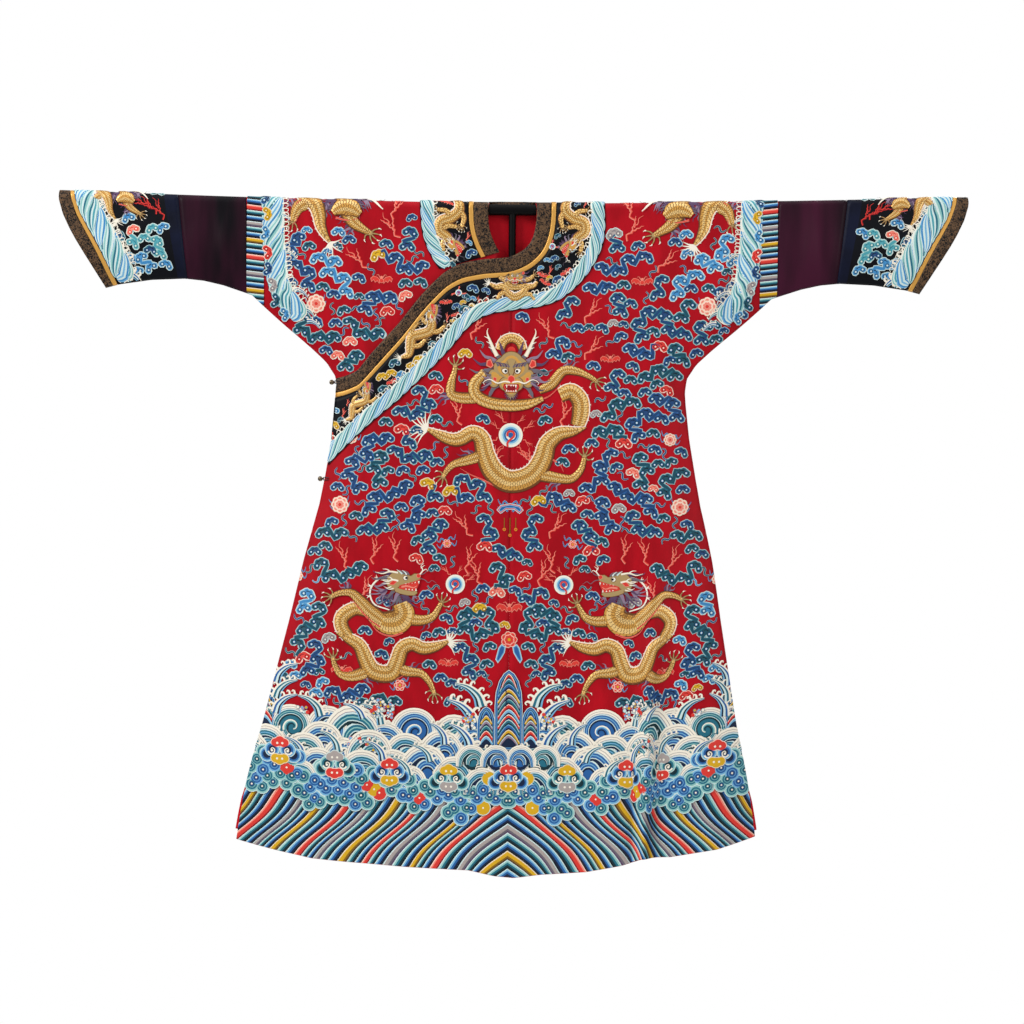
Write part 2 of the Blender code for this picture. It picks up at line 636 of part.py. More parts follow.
def main():
    for leftover in list(bpy.data.objects):
        bpy.data.objects.remove(leftover)
    red = material("red_satin", (0.42, 0.012, 0.022), 0.42)
    satin = material("black_satin", (0.008, 0.009, 0.018), 0.4)
    braid = material("gold_braid", (0.55, 0.33, 0.07), 0.45, 0.3)
    brocade = material("brown_brocade", (0.09, 0.05, 0.03), 0.6)
    t_bar()
    body_half("body_right", -1, red)
    body_half("body_left", 1, red)
    outer_lap(red)
    binding_end = BRAID_WIDTH + SEAM_GAP
    band_piece("collar_binding", brocade, False, 0.0, binding_end, 3, TRIM_WALL)
    band_piece("collar_braid", braid, False, -BRAID_WIDTH, 0.0, 1, BRAID_WALL)
    band_piece("collar_facing", satin, True, SEAM_GAP, 0.0, 4, TRIM_WALL)
    sleeve(-1, "right")
    sleeve(1, "left")
    button("underarm", 0.386, HALF_WALL + LAYER_GAP + TRIM_WALL)
    button("side", 0.587, HALF_WALL)


main()
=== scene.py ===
"""Chinese dragon robe hung flat over a T-bar, dressed on its CAD frame.

Metres, +Z up, front facing -Y. Cloth and stitching are placed by pattern coordinates: x runs
across the robe from its centre seam, and s runs along the cloth from the fold on the
crossbar, down the front where s is positive and down the back where it is negative.
Embroidery is drawn flat, with x across, y up and z as its height over the cloth, and is then
laid on the hung cloth.
"""
from collections import namedtuple
from functools import partial
from math import atan2, cos, pi, radians, sin, tau

import bmesh
import bpy
import numpy as np
from bpy.props import FloatProperty, PointerProperty
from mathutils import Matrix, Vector


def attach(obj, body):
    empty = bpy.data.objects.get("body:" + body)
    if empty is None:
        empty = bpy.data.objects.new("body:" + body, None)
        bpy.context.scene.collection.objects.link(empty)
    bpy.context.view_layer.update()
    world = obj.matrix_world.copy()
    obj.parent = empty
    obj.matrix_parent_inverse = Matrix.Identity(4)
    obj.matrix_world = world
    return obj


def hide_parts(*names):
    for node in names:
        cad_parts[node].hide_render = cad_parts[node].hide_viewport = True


bl_info = {
    "name": "Dragon robe on a T-bar",
    "version": (1, 0, 0),
    "blender": (4, 5, 0),
    "location": "3D View > Sidebar > Robe",
    "description": "Dresses the solids of a hung dragon robe in silk and embroidery",
    "category": "Object",
}

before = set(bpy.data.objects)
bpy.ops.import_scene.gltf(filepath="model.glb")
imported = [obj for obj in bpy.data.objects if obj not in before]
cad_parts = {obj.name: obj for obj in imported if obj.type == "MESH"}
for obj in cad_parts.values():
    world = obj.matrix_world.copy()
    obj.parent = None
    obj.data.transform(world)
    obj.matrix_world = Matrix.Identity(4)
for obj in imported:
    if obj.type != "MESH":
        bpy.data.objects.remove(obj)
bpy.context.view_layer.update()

# Sizes shared with the solids
WALL = 0.0020
TRIM_WALL = 0.0012
BRAID_WALL = 0.0016
CUFF_WALL = 0.0022
CUFF_TRIM_WALL = 0.0028
SEAM_GAP = 0.0003
LAYER_GAP = 0.0008
CUFF_GAP = 0.0006
LAP_STEP = 0.0032
LAP_FLUSH = 0.002
BAR_RADIUS = 0.0115
FOLD_RADIUS = 0.0133
BAR_HALF_LENGTH = 0.915
BOW_RISE = 0.020
BOW_AT = 0.94
BOW_POWER = 1.5
POST_RADIUS = 0.0075
POST_FOOT = -0.300
SLEEVE_SEAM_TOP = 0.552
SLEEVE_SEAM_BOTTOM = 0.541
SLEEVE_SEAM_DEPTH = 0.209
CUFF_SEAM_TOP = 0.695
CUFF_SEAM_BOTTOM = 0.674
CUFF_BRAID = 0.0095
SLEEVE_REACH = {-1: 0.994, 1: 1.006}
UNDERLAP_EDGE = 0.030
NECK_DEPTH = 0.1205
NECK_STAND = 0.022
NECK_STAND_FADE = 0.030
LINE_WIDTH = 0.0400
BRAID_WIDTH = 0.0092
SEAM_ROUNDING = 0.100
BACK_FLARE = 0.006
BACK_FLARE_FROM = 1.15
FOLD_TAKE = 0.047
FOLD_TAKE_FROM = 0.58
FOLD_TAKE_TO = 1.33
FOLD_TAKE_X = 0.250
FOLD_TAKE_WIDTH = 0.115
BUTTON_RADIUS = 0.0053
BUTTON_REACH = 0.0092
BUTTON_ROWS = (("underarm", 0.386, True), ("side", 0.587, False))
SHANK_GAP = 0.0012
SHANK_RADIUS = 0.0013
LOOP_RADIUS = 0.0008
LOOP_OUT = 0.0030
PANEL, COLLAR, LAP, SHOWN = "panel", "collar", "lap", "shown"
QUARTER = FOLD_RADIUS * pi / 2
HALF_WALL = WALL / 2
SEAM_DEPTH = HALF_WALL + SEAM_GAP / 2
HEM_BLEND_FROM = 0.402
LAST_ROW = 1.380
PROBE = 0.0008

Curve = namedtuple("Curve", "at value")
Fold = namedtuple("Fold", "x0 s0 x1 s1 width height to_hem")
Band = namedtuple("Band", "in_x in_s out_x out_s steps line_x line_s", defaults=(None, None))


def curve(*pairs):
    """A table of places and values, read with straight lines between them."""
    return Curve(np.array([p[0] for p in pairs]), np.array([p[1] for p in pairs]))


SLEEVE_UNDER = curve(
    (0.541, 0.209), (0.600, 0.191), (0.640, 0.183), (0.680, 0.180), (0.750, 0.185),
    (0.818, 0.197), (0.845, 0.205), (0.880, 0.209))
SIDE = curve(
    (0.209, 0.541), (0.232, 0.516), (0.254, 0.491), (0.276, 0.465), (0.297, 0.439),
    (0.317, 0.415), (0.345, 0.384), (0.374, 0.365), (0.402, 0.361), (0.430, 0.363),
    (0.501, 0.371), (0.584, 0.385), (0.640, 0.396), (0.754, 0.427), (0.875, 0.455),
    (0.979, 0.481), (1.073, 0.504), (1.145, 0.523), (1.251, 0.549), (1.340, 0.563),
    (1.420, 0.572))
NECK = curve(
    (-QUARTER, 0.0), (-0.75 * QUARTER, 0.046), (0.0, 0.048), (0.0209, 0.0505),
    (0.045, 0.0495), (0.071, 0.045), (0.090, 0.037), (0.104, 0.026), (0.113, 0.016),
    (NECK_DEPTH, 0.0))
FRONT_HEM = curve(
    (-0.563, 1.340), (-0.406, 1.372), (-0.200, 1.386), (-0.080, 1.389), (-0.027, 1.401),
    (0.014, 1.405), (0.068, 1.398), (0.162, 1.393), (0.239, 1.379), (0.285, 1.366),
    (0.385, 1.364), (0.480, 1.350), (0.563, 1.326))
BACK_HEM = curve(
    (-0.570, 1.318), (-0.400, 1.356), (-0.200, 1.374), (0.0, 1.380), (0.200, 1.374),
    (0.400, 1.356), (0.570, 1.312))
LAP_TOP = curve(
    (-0.3630, 0.3780), (-0.3400, 0.3720), (-0.3166, 0.3590), (-0.2856, 0.3200),
    (-0.2308, 0.2580), (-0.1839, 0.1980), (-0.1490, 0.1620), (-0.1285, 0.1465),
    (-0.1060, 0.1355), (-0.0735, 0.1275), (-0.0415, 0.1240), (0.0, NECK_DEPTH))
DEPTH = curve(
    (0.0, FOLD_RADIUS), (QUARTER, FOLD_RADIUS), (0.20, 0.0160), (0.50, 0.0200),
    (0.90, 0.0240), (1.42, 0.0270))
CUFF_BRAID_EDGE = curve(
    (0.0, 0.911), (0.12, 0.907), (0.27, 0.896), (0.41, 0.880), (0.52, 0.867),
    (0.64, 0.854), (0.76, 0.842), (1.0, 0.820))
CUFF_MOUTH = curve(
    (0.0, 0.942), (0.12, 0.943), (0.27, 0.934), (0.41, 0.920), (0.52, 0.907),
    (0.64, 0.891), (0.76, 0.875), (1.0, 0.845))
# Large folds, as in the solids
FRONT_FOLDS = (
    Fold(0.306, 0.66, 0.300, 1.40, 0.030, 0.022, True),
    Fold(0.200, 0.86, 0.222, 1.40, 0.034, 0.006, True),
    Fold(-0.270, 0.80, -0.350, 1.40, 0.045, 0.007, True),
    Fold(-0.070, 0.92, -0.090, 1.40, 0.050, 0.005, True),
    Fold(0.482, 0.070, 0.440, 0.262, 0.014, -0.005, False),
    Fold(0.452, 0.080, 0.412, 0.280, 0.016, 0.005, False),
    Fold(-0.470, 0.110, -0.425, 0.290, 0.018, 0.005, False),
)
BACK_FOLDS = (
    Fold(0.306, 0.70, 0.310, 1.40, 0.032, 0.018, True),
    Fold(0.120, 0.62, 0.150, 1.40, 0.050, 0.008, True),
    Fold(-0.190, 0.70, -0.240, 1.40, 0.046, 0.009, True),
    Fold(0.470, 0.080, 0.430, 0.275, 0.018, 0.005, False),
    Fold(-0.462, 0.090, -0.428, 0.270, 0.016, 0.005, False),
)
# Soft creases placed over the large folds
FRONT_CREASES = (
    Fold(0.385, 0.33, 0.330, 0.52, 0.020, 0.0016, False),
    Fold(0.300, 0.30, 0.245, 0.44, 0.022, -0.0012, False),
    Fold(0.180, 0.50, 0.165, 0.86, 0.028, 0.0014, False),
    Fold(0.345, 0.62, 0.395, 1.10, 0.022, -0.0018, False),
    Fold(0.130, 1.02, 0.142, 1.38, 0.018, -0.0022, True),
    Fold(0.262, 1.12, 0.258, 1.37, 0.013, -0.0042, True),
    Fold(0.350, 1.10, 0.358, 1.36, 0.014, -0.0034, True),
    Fold(0.440, 0.98, 0.470, 1.33, 0.020, 0.0020, True),
    Fold(0.015, 0.78, 0.028, 1.40, 0.030, -0.0016, True),
    Fold(-0.150, 0.60, -0.168, 0.98, 0.026, 0.0015, False),
    Fold(-0.180, 1.08, -0.196, 1.38, 0.020, -0.0024, True),
    Fold(-0.330, 0.56, -0.365, 0.90, 0.020, -0.0014, False),
    Fold(-0.430, 1.00, -0.470, 1.34, 0.022, 0.0024, True),
    Fold(-0.395, 0.20, -0.330, 0.33, 0.018, -0.0016, False),
    Fold(-0.505, 0.06, -0.470, 0.24, 0.013, -0.0018, False),
    Fold(0.520, 0.05, 0.500, 0.22, 0.011, 0.0018, False),
    Fold(0.300, 0.06, 0.280, 0.20, 0.020, 0.0010, False),
    Fold(0.600, 0.03, 0.590, 0.17, 0.012, 0.0022, False),
    Fold(0.632, 0.02, 0.640, 0.15, 0.010, -0.0018, False),
    Fold(0.664, 0.05, 0.650, 0.17, 0.009, 0.0016, False),
    Fold(-0.590, 0.04, -0.604, 0.18, 0.011, 0.0020, False),
    Fold(-0.628, 0.02, -0.620, 0.12, 0.010, -0.0018, False),
    Fold(-0.660, 0.06, -0.650, 0.17, 0.010, 0.0018, False),
    Fold(0.770, 0.03, 0.760, 0.15, 0.016, 0.0012, False),
    Fold(-0.775, 0.02, -0.760, 0.16, 0.015, 0.0012, False),
)
BACK_CREASES = (
    Fold(0.370, 0.34, 0.310, 0.55, 0.022, 0.0017, False),
    Fold(-0.372, 0.33, -0.300, 0.50, 0.020, 0.0015, False),
    Fold(0.040, 0.30, 0.052, 0.85, 0.034, -0.0016, False),
    Fold(-0.060, 0.55, -0.075, 1.37, 0.028, 0.0022, True),
    Fold(0.215, 0.95, 0.232, 1.36, 0.020, -0.0028, True),
    Fold(0.420, 0.90, 0.452, 1.33, 0.022, 0.0020, True),
    Fold(-0.340, 0.80, -0.372, 1.35, 0.024, -0.0026, True),
    Fold(-0.455, 1.02, -0.490, 1.33, 0.020, 0.0020, True),
    Fold(0.010, 1.05, 0.014, 1.38, 0.016, -0.0016, True),
    Fold(0.595, 0.03, 0.608, 0.17, 0.012, 0.0020, False),
    Fold(0.640, 0.02, 0.632, 0.14, 0.010, -0.0016, False),
    Fold(-0.600, 0.04, -0.590, 0.18, 0.012, 0.0020, False),
    Fold(-0.642, 0.03, -0.648, 0.15, 0.010, -0.0016, False),
    Fold(0.500, 0.06, 0.480, 0.22, 0.014, -0.0014, False),
    Fold(-0.505, 0.05, -0.478, 0.22, 0.014, 0.0016, False),
    Fold(0.780, 0.03, 0.765, 0.16, 0.015, 0.0012, False),
    Fold(-0.765, 0.03, -0.775, 0.16, 0.016, 0.0012, False),
)
# The collar band: inner edge, outer edge, steps to the next row, end of the binding
BAND_UNDER = (
    Band(-0.0260, 0.110, -0.151, 0.147, 2), Band(-0.0360, 0.092, -0.170, 0.118, 2),
    Band(-0.0450, 0.070, -0.184, 0.084, 2), Band(-0.0495, 0.045, -0.190, 0.050, 2),
)
BAND_SHOULDER = (
    Band(0.0505, 0.0209, 0.192, 0.0209, 4, 0.0905, 0.0209),
    Band(0.0482, 0.0, 0.192, 0.0, 4, 0.0900, 0.0),
    Band(0.0420, -0.0014, 0.190, -0.0209, 3, 0.0800, -0.0209),
    Band(0.0340, -0.0017, 0.178, -0.070, 3, 0.0660, -0.0340),
    Band(0.0200, -0.0020, 0.133, -0.118, 2, 0.0400, -0.0410),
)
BAND_BACK = Band(0.0, -0.0020, 0.0, -0.143, 2, 0.0, -0.0420)
BAND_LAP = (
    Band(0.0495, 0.045, 0.193, 0.067, 2), Band(0.0450, 0.071, 0.183, 0.111, 2),
    Band(0.0370, 0.090, 0.152, 0.163, 2), Band(0.0240, 0.104, 0.105, 0.206, 2),
    Band(0.0080, 0.114, 0.060, 0.223, 1), Band(-0.0100, 0.1205, 0.017, 0.229, 1),
    Band(-0.0340, 0.1232, -0.016, 0.234, 1), Band(-0.0600, 0.1255, -0.044, 0.240, 1),
    Band(-0.0850, 0.1300, -0.070, 0.252, 1), Band(-0.1060, 0.1355, -0.092, 0.271, 1),
    Band(-0.1285, 0.1465, -0.108, 0.290, 1), Band(-0.1490, 0.1620, -0.124, 0.310, 1),
    Band(-0.1839, 0.1980, -0.154, 0.343, 1), Band(-0.2080, 0.2280, -0.178, 0.368, 1),
    Band(-0.2308, 0.2580, -0.203, 0.392, 1), Band(-0.2580, 0.2890, -0.229, 0.418, 1),
    Band(-0.2856, 0.3200, -0.256, 0.441, 1), Band(-0.3030, 0.3420, -0.281, 0.463, 1),
    Band(-0.3166, 0.3590, -0.306, 0.486, 1), Band(-0.3300, 0.3672, -0.328, 0.508, 1),
    Band(-0.3450, 0.3735, -0.350, 0.530, 1), Band(-0.3625, 0.3780, -0.3775, 0.559, 0),
)


# ---------------------------------------------------------------- the hung cloth
def read(table, at):
    return np.interp(at, table.at, table.value)


def smooth(share):
    share = np.clip(share, 0.0, 1.0)
    return share * share * (3 - 2 * share)


def segment_distance(x, s, x0, s0, x1, s1):
    """Distance from points to a straight line piece, and how far along it they lie."""
    length = np.hypot(x1 - x0, s1 - s0)
    along = np.clip(((x - x0) * (x1 - x0) + (s - s0) * (s1 - s0)) / length ** 2, 0.0, 1.0)
    return np.hypot(x - x0 - along * (x1 - x0), s - s0 - along * (s1 - s0)), along


def edge_distance(x, s):
    """Distance to the closed edge: the sleeve's underside, the underarm and the side seam."""
    near = np.full(x.shape, 9.0)
    for x_at, s_at in ((SLEEVE_UNDER.at, SLEEVE_UNDER.value), (SIDE.value, SIDE.at)):
        for ends in zip(x_at, s_at, x_at[1:], s_at[1:]):
            near = np.minimum(near, segment_distance(x, s, *ends)[0])
    return near


def fold_height(x, s):
    """Height of the folds and creases over the flat cloth."""
    height = np.zeros(x.shape)
    for on, folds in ((s > 0, FRONT_FOLDS + FRONT_CREASES), (s <= 0, BACK_FOLDS + BACK_CREASES)):
        total = np.zeros(on.sum())
        px, ps = x[on], np.abs(s[on])
        for fold in folds:
            away, along = segment_distance(px, ps, fold.x0, fold.s0, fold.x1, fold.s1)
            fade = smooth(along / 0.5) if fold.to_hem else np.sin(pi * along)
            total += fold.height * fade * np.exp(-(away / fold.width) ** 2)
        height[on] = total
    return height


def cloth_points(x, s, layer):
    """Places of pattern points on the middle of the hung cloth.

    The layer COLLAR stands up by itself behind the neck. LAP also lies over the underlap.
    SHOWN is whichever cloth is outermost there.
    """
    under_top = s > read(LAP_TOP, x)
    hidden = (layer == PANEL) & (x < 0) & (s > 0) & under_top
    lifted = (x < 0) & (s > 0) & (layer != PANEL) & (layer != COLLAR)
    if layer == SHOWN:
        lifted &= under_top
    closing = np.minimum(edge_distance(np.abs(x), np.abs(s)) / SEAM_ROUNDING, 1.0)
    closing = 1 - (1 - closing) ** 2
    full = read(DEPTH, np.abs(s))
    full = full + np.where((np.abs(s) > QUARTER) & ~hidden, fold_height(x, s), 0.0)
    depth = SEAM_DEPTH + (full - SEAM_DEPTH) * closing
    ease = smooth((-x - LAP_FLUSH) / (UNDERLAP_EDGE - 2 * LAP_FLUSH))
    depth = depth + np.where(lifted, LAP_STEP * ease, 0.0)

    run = np.abs(s)
    side = np.where(s >= 0, -1.0, 1.0)
    angle = np.minimum(run, QUARTER) / FOLD_RADIUS
    y = side * (FOLD_RADIUS * np.sin(angle) + depth - FOLD_RADIUS)
    z = FOLD_RADIUS * np.cos(angle) - np.maximum(run - QUARTER, 0.0)
    if layer in (COLLAR, LAP):
        stand = 1 - smooth((np.abs(x) - NECK_STAND) / NECK_STAND_FADE)
        stand = np.where((s < 0) & (run < QUARTER), stand, 0.0)
        y = y + stand * (FOLD_RADIUS - y)
        z = z + stand * (QUARTER - run - z)
    z = z + BOW_RISE * (np.abs(x) / BOW_AT) ** BOW_POWER
    take = FOLD_TAKE * smooth((run - FOLD_TAKE_FROM) / (FOLD_TAKE_TO - FOLD_TAKE_FROM))
    take = np.where(x > 0, take * smooth((x - FOLD_TAKE_X) / FOLD_TAKE_WIDTH), 0.0)
    reach = np.where(x > 0, SLEEVE_REACH[1], SLEEVE_REACH[-1]) - 1
    beyond = np.maximum(np.abs(x) - SLEEVE_SEAM_TOP, 0.0) * np.where(run < 0.3, reach, 0.0)
    return np.stack((x - take + np.sign(x) * beyond, y, z), axis=-1)


def cloth_normals(x, s, layer):
    """Outward directions of the hung cloth."""
    down = cloth_points(x, s + PROBE, layer) - cloth_points(x, s - PROBE, layer)
    across = cloth_points(x + PROBE, s, layer) - cloth_points(x - PROBE, s, layer)
    normals = np.cross(down, across)
    return normals / np.linalg.norm(normals, axis=-1, keepdims=True)


def lay(x, s, layer, lift):
    """Places on the hung cloth, moved out from its middle by lift."""
    x, s, lift = [np.asarray(a, dtype=float) for a in (x, s, lift)]
    return cloth_points(x, s, layer) + cloth_normals(x, s, layer) * lift[..., None]


# ---------------------------------------------------------------- finishes
THREADS = {
    "navy": "#0E1F3C", "blue": "#255A96", "sky": "#6FA8CC", "ice": "#C6DAD8",
    "azure": "#3B80B4", "denim": "#1C3F6C", "pine": "#164757", "frost": "#A3C0C2",
    "lagoon": "#4896A2", "spruce": "#0B2B33", "teal": "#21667A", "mint": "#86B8B4",
    "white": "#E9E2D2", "cream": "#E2D0B4", "yellow": "#CDA01C", "ochre": "#846014",
    "coral": "#CF372E", "pink": "#E2806E", "rose": "#F0C9BA", "mauve": "#553E5C",
    "lilac": "#877387", "stone": "#A09692", "slate": "#66606A", "ink": "#080A12",
    # the lightest gold paints highlights on the dragons' bodies; the darkest gold draws outlines
    # and also paints shade beside them
    "crimson": "#840C18", "gold": "#D29C48", "gold_dark": "#74461C", "gold_painted_highlight": "#F0CB84",
    "brown": "#4A3420", "hide": "#A48A5C",
}
THREAD_NAMES = list(THREADS)
METAL_THREADS = ("gold", "gold_dark", "gold_painted_highlight")


def linear(hex_colour):
    """An sRGB hex colour as linear red, green, blue and alpha."""
    parts = [int(hex_colour[i:i + 2], 16) / 255 for i in (1, 3, 5)]
    return (*[c / 12.92 if c <= 0.04045 else ((c + 0.055) / 1.055) ** 2.4 for c in parts], 1.0)


def principled(name, colour, roughness, metallic=0.0, sheen=0.0, shine=0.5):
    """A material with one Principled shader, and that shader."""
    made = bpy.data.materials.get(name) or bpy.data.materials.new(name)
    made.use_nodes = True
    shader = made.node_tree.nodes["Principled BSDF"]
    shader.inputs["Base Color"].default_value = colour
    shader.inputs["Roughness"].default_value = roughness
    shader.inputs["Metallic"].default_value = metallic
    shader.inputs["Sheen Weight"].default_value = sheen
    shader.inputs["Specular IOR Level"].default_value = shine
    return made, shader


def add_node(tree, kind, links=(), **values):
    """Adds a node, sets its values and links (socket name, output socket) pairs into it."""
    node = tree.nodes.new(kind)
    for key, value in values.items():
        if key in node.bl_rna.properties:
            setattr(node, key, value)
        else:
            node.inputs[key.replace("_", " ")].default_value = value
    for socket, output in links:
        tree.links.new(output, node.inputs[socket])
    return node


def bump(tree, shader, height, distance, strength):
    node = add_node(tree, "ShaderNodeBump", [("Height", height)], Distance=distance,
                    Strength=strength)
    tree.links.new(node.outputs["Normal"], shader.inputs["Normal"])


def mottled(name, dark, light, roughness, scale, stretch=(1, 1, 1), sheen=0.0, rough_bump=0.0006,
            detail=3.0):
    """Woven silk: two close colours drift over it, and its surface cockles a little. On the
    sleeves the two lie far apart and the light one is painted sheen in streaks.
    """
    made, shader = principled(name, linear(light), roughness, sheen=sheen, shine=0.12)
    tree = made.node_tree
    place = add_node(tree, "ShaderNodeTexCoord").outputs["Object"]
    place = add_node(tree, "ShaderNodeMapping", [("Vector", place)], Scale=stretch)
    drift = add_node(tree, "ShaderNodeTexNoise", [("Vector", place.outputs["Vector"])],
                     Scale=scale, Detail=detail, Roughness=0.55)
    ramp = add_node(tree, "ShaderNodeValToRGB", [("Fac", drift.outputs["Fac"])])
    ramp.color_ramp.elements[0].position = 0.36
    ramp.color_ramp.elements[0].color = linear(dark)
    ramp.color_ramp.elements[1].position = 0.64
    ramp.color_ramp.elements[1].color = linear(light)
    tree.links.new(ramp.outputs["Color"], shader.inputs["Base Color"])
    cockle = add_node(tree, "ShaderNodeTexNoise", [("Vector", place.outputs["Vector"])],
                      Scale=scale * 7, Detail=2.0)
    bump(tree, shader, cockle.outputs["Fac"], rough_bump, 0.5)
    return made


def brocade():
    """Black ground with fine curling brown scrolls, as woven edging silk has."""
    made, shader = principled("edging_brocade", linear("#15100D"), 0.55, shine=0.2)
    tree = made.node_tree
    place = add_node(tree, "ShaderNodeTexCoord").outputs["Object"]
    field = add_node(tree, "ShaderNodeTexNoise", [("Vector", place)], Scale=150.0, Detail=1.2,
                     Roughness=0.5, Distortion=1.4)
    away = add_node(tree, "ShaderNodeMath", [(0, field.outputs["Fac"])], operation="SUBTRACT")
    away.inputs[1].default_value = 0.5
    line = add_node(tree, "ShaderNodeMath", [(0, away.outputs[0])], operation="ABSOLUTE")
    ramp = add_node(tree, "ShaderNodeValToRGB", [("Fac", line.outputs[0])])
    ramp.color_ramp.elements[0].position = 0.055
    ramp.color_ramp.elements[0].color = linear("#5E4630")
    ramp.color_ramp.elements[1].position = 0.085
    ramp.color_ramp.elements[1].color = linear("#0C0807")
    tree.links.new(ramp.outputs["Color"], shader.inputs["Base Color"])
    bump(tree, shader, ramp.outputs["Color"], 0.0004, 0.6)
    return made


def thread_material(name):
    """Floss silk, or couched metal thread for the golds."""
    metal = name in METAL_THREADS
    made, _ = principled("thread_" + name, linear(THREADS[name]), 0.42 if metal else 0.55,
                         metallic=0.4 if metal else 0.0, shine=0.5 if metal else 0.2)
    return made


# ---------------------------------------------------------------- building pieces
def put(name, mesh, materials, replaces=()):
    """Links a mesh as a piece of the robe's one body."""
    for made in materials:
        mesh.materials.append(made)
    mesh.shade_smooth()
    piece = bpy.data.objects.new(name, mesh)
    bpy.context.collection.objects.link(piece)
    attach(piece, "root")
    if replaces:
        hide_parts(*replaces)
    return piece


def finished(bm, name):
    """A bmesh as a mesh."""
    mesh = bpy.data.meshes.new(name)
    bm.to_mesh(mesh)
    bm.free()
    return mesh


def grid_mesh(name, places, wrapped=False):
    """A sheet through a grid of places: rows run down the cloth, columns towards +X.

    A wrapped sheet's last row is its first again, which makes it a tube.
    """
    if wrapped:
        places = np.concatenate((places, places[:1]))
    rows, columns = places.shape[:2]
    bm = bmesh.new()
    bmesh.ops.create_grid(bm, x_segments=columns - 1, y_segments=rows - 1, size=1.0)
    for vert in bm.verts:
        column = round((vert.co.x + 1) / 2 * (columns - 1))
        row = round((vert.co.y + 1) / 2 * (rows - 1))
        vert.co = places[row, column]
    if wrapped:
        bmesh.ops.remove_doubles(bm, verts=bm.verts, dist=1e-6)
    bmesh.ops.reverse_faces(bm, faces=bm.faces)
    return finished(bm, name)


def thicken(piece, thickness, lining=0):
    """Gives a sheet its thickness towards the inside, with the lining's material there."""
    wall = piece.modifiers.new("thickness", "SOLIDIFY")
    wall.thickness = thickness
    wall.offset = -1.0
    wall.material_offset = lining
    wall.material_offset_rim = 0


def passing(a, b, c, d, t):
    """The place at share t of the smooth curve from b to c, whose neighbours are a and d."""
    return 0.5 * (2 * b + (c - a) * t + (2 * a - 5 * b + 4 * c - d) * t ** 2
                  + (3 * b - a - 3 * c + d) * t ** 3)


def lengths_along(route):
    """How far along a route each of its points lies."""
    return np.concatenate(([0], np.cumsum(np.hypot(*np.diff(route, axis=0).T))))


def bend(points, count=24):
    """A smooth curve through a few flat points, as evenly spaced points."""
    points = np.asarray(points, dtype=float)
    padded = np.vstack((2 * points[0] - points[1], points, 2 * points[-1] - points[-2]))
    fine = []
    for a, b, c, d in zip(padded, padded[1:], padded[2:], padded[3:]):
        for t in np.linspace(0, 1, 12, endpoint=False):
            fine.append(passing(a, b, c, d, t))
    fine = np.array(fine + [points[-1]])
    gone = lengths_along(fine)
    at = np.linspace(0, gone[-1], count)
    return np.stack([np.interp(at, gone, fine[:, k]) for k in (0, 1)], axis=-1)


def left_of(route):
    """Unit vectors to the left of a route."""
    along = np.gradient(route, axis=0)
    along /= np.maximum(np.hypot(*along.T), 1e-9)[:, None]
    return np.stack((-along[:, 1], along[:, 0]), axis=-1)


def lobes(circles, sides=24):
    """Outline of overlapping circles (x, y, radius) that all hold or nearly reach 0, 0."""
    outline = []
    for k in range(sides):
        dx, dy = cos(tau * k / sides), sin(tau * k / sides)
        far = 0.0
        for cx, cy, radius in circles:
            along = dx * cx + dy * cy
            under = radius ** 2 - cx ** 2 - cy ** 2 + along ** 2
            if under > 0 and along + under ** 0.5 > far:
                far = along + under ** 0.5
        outline.append((dx * far, dy * far))
    return outline


RELIEF = 0.45               # motifs are drawn plump, and are laid this much lower
LONGEST_STITCH = 0.014      # longer edges are divided, so that they follow the folds


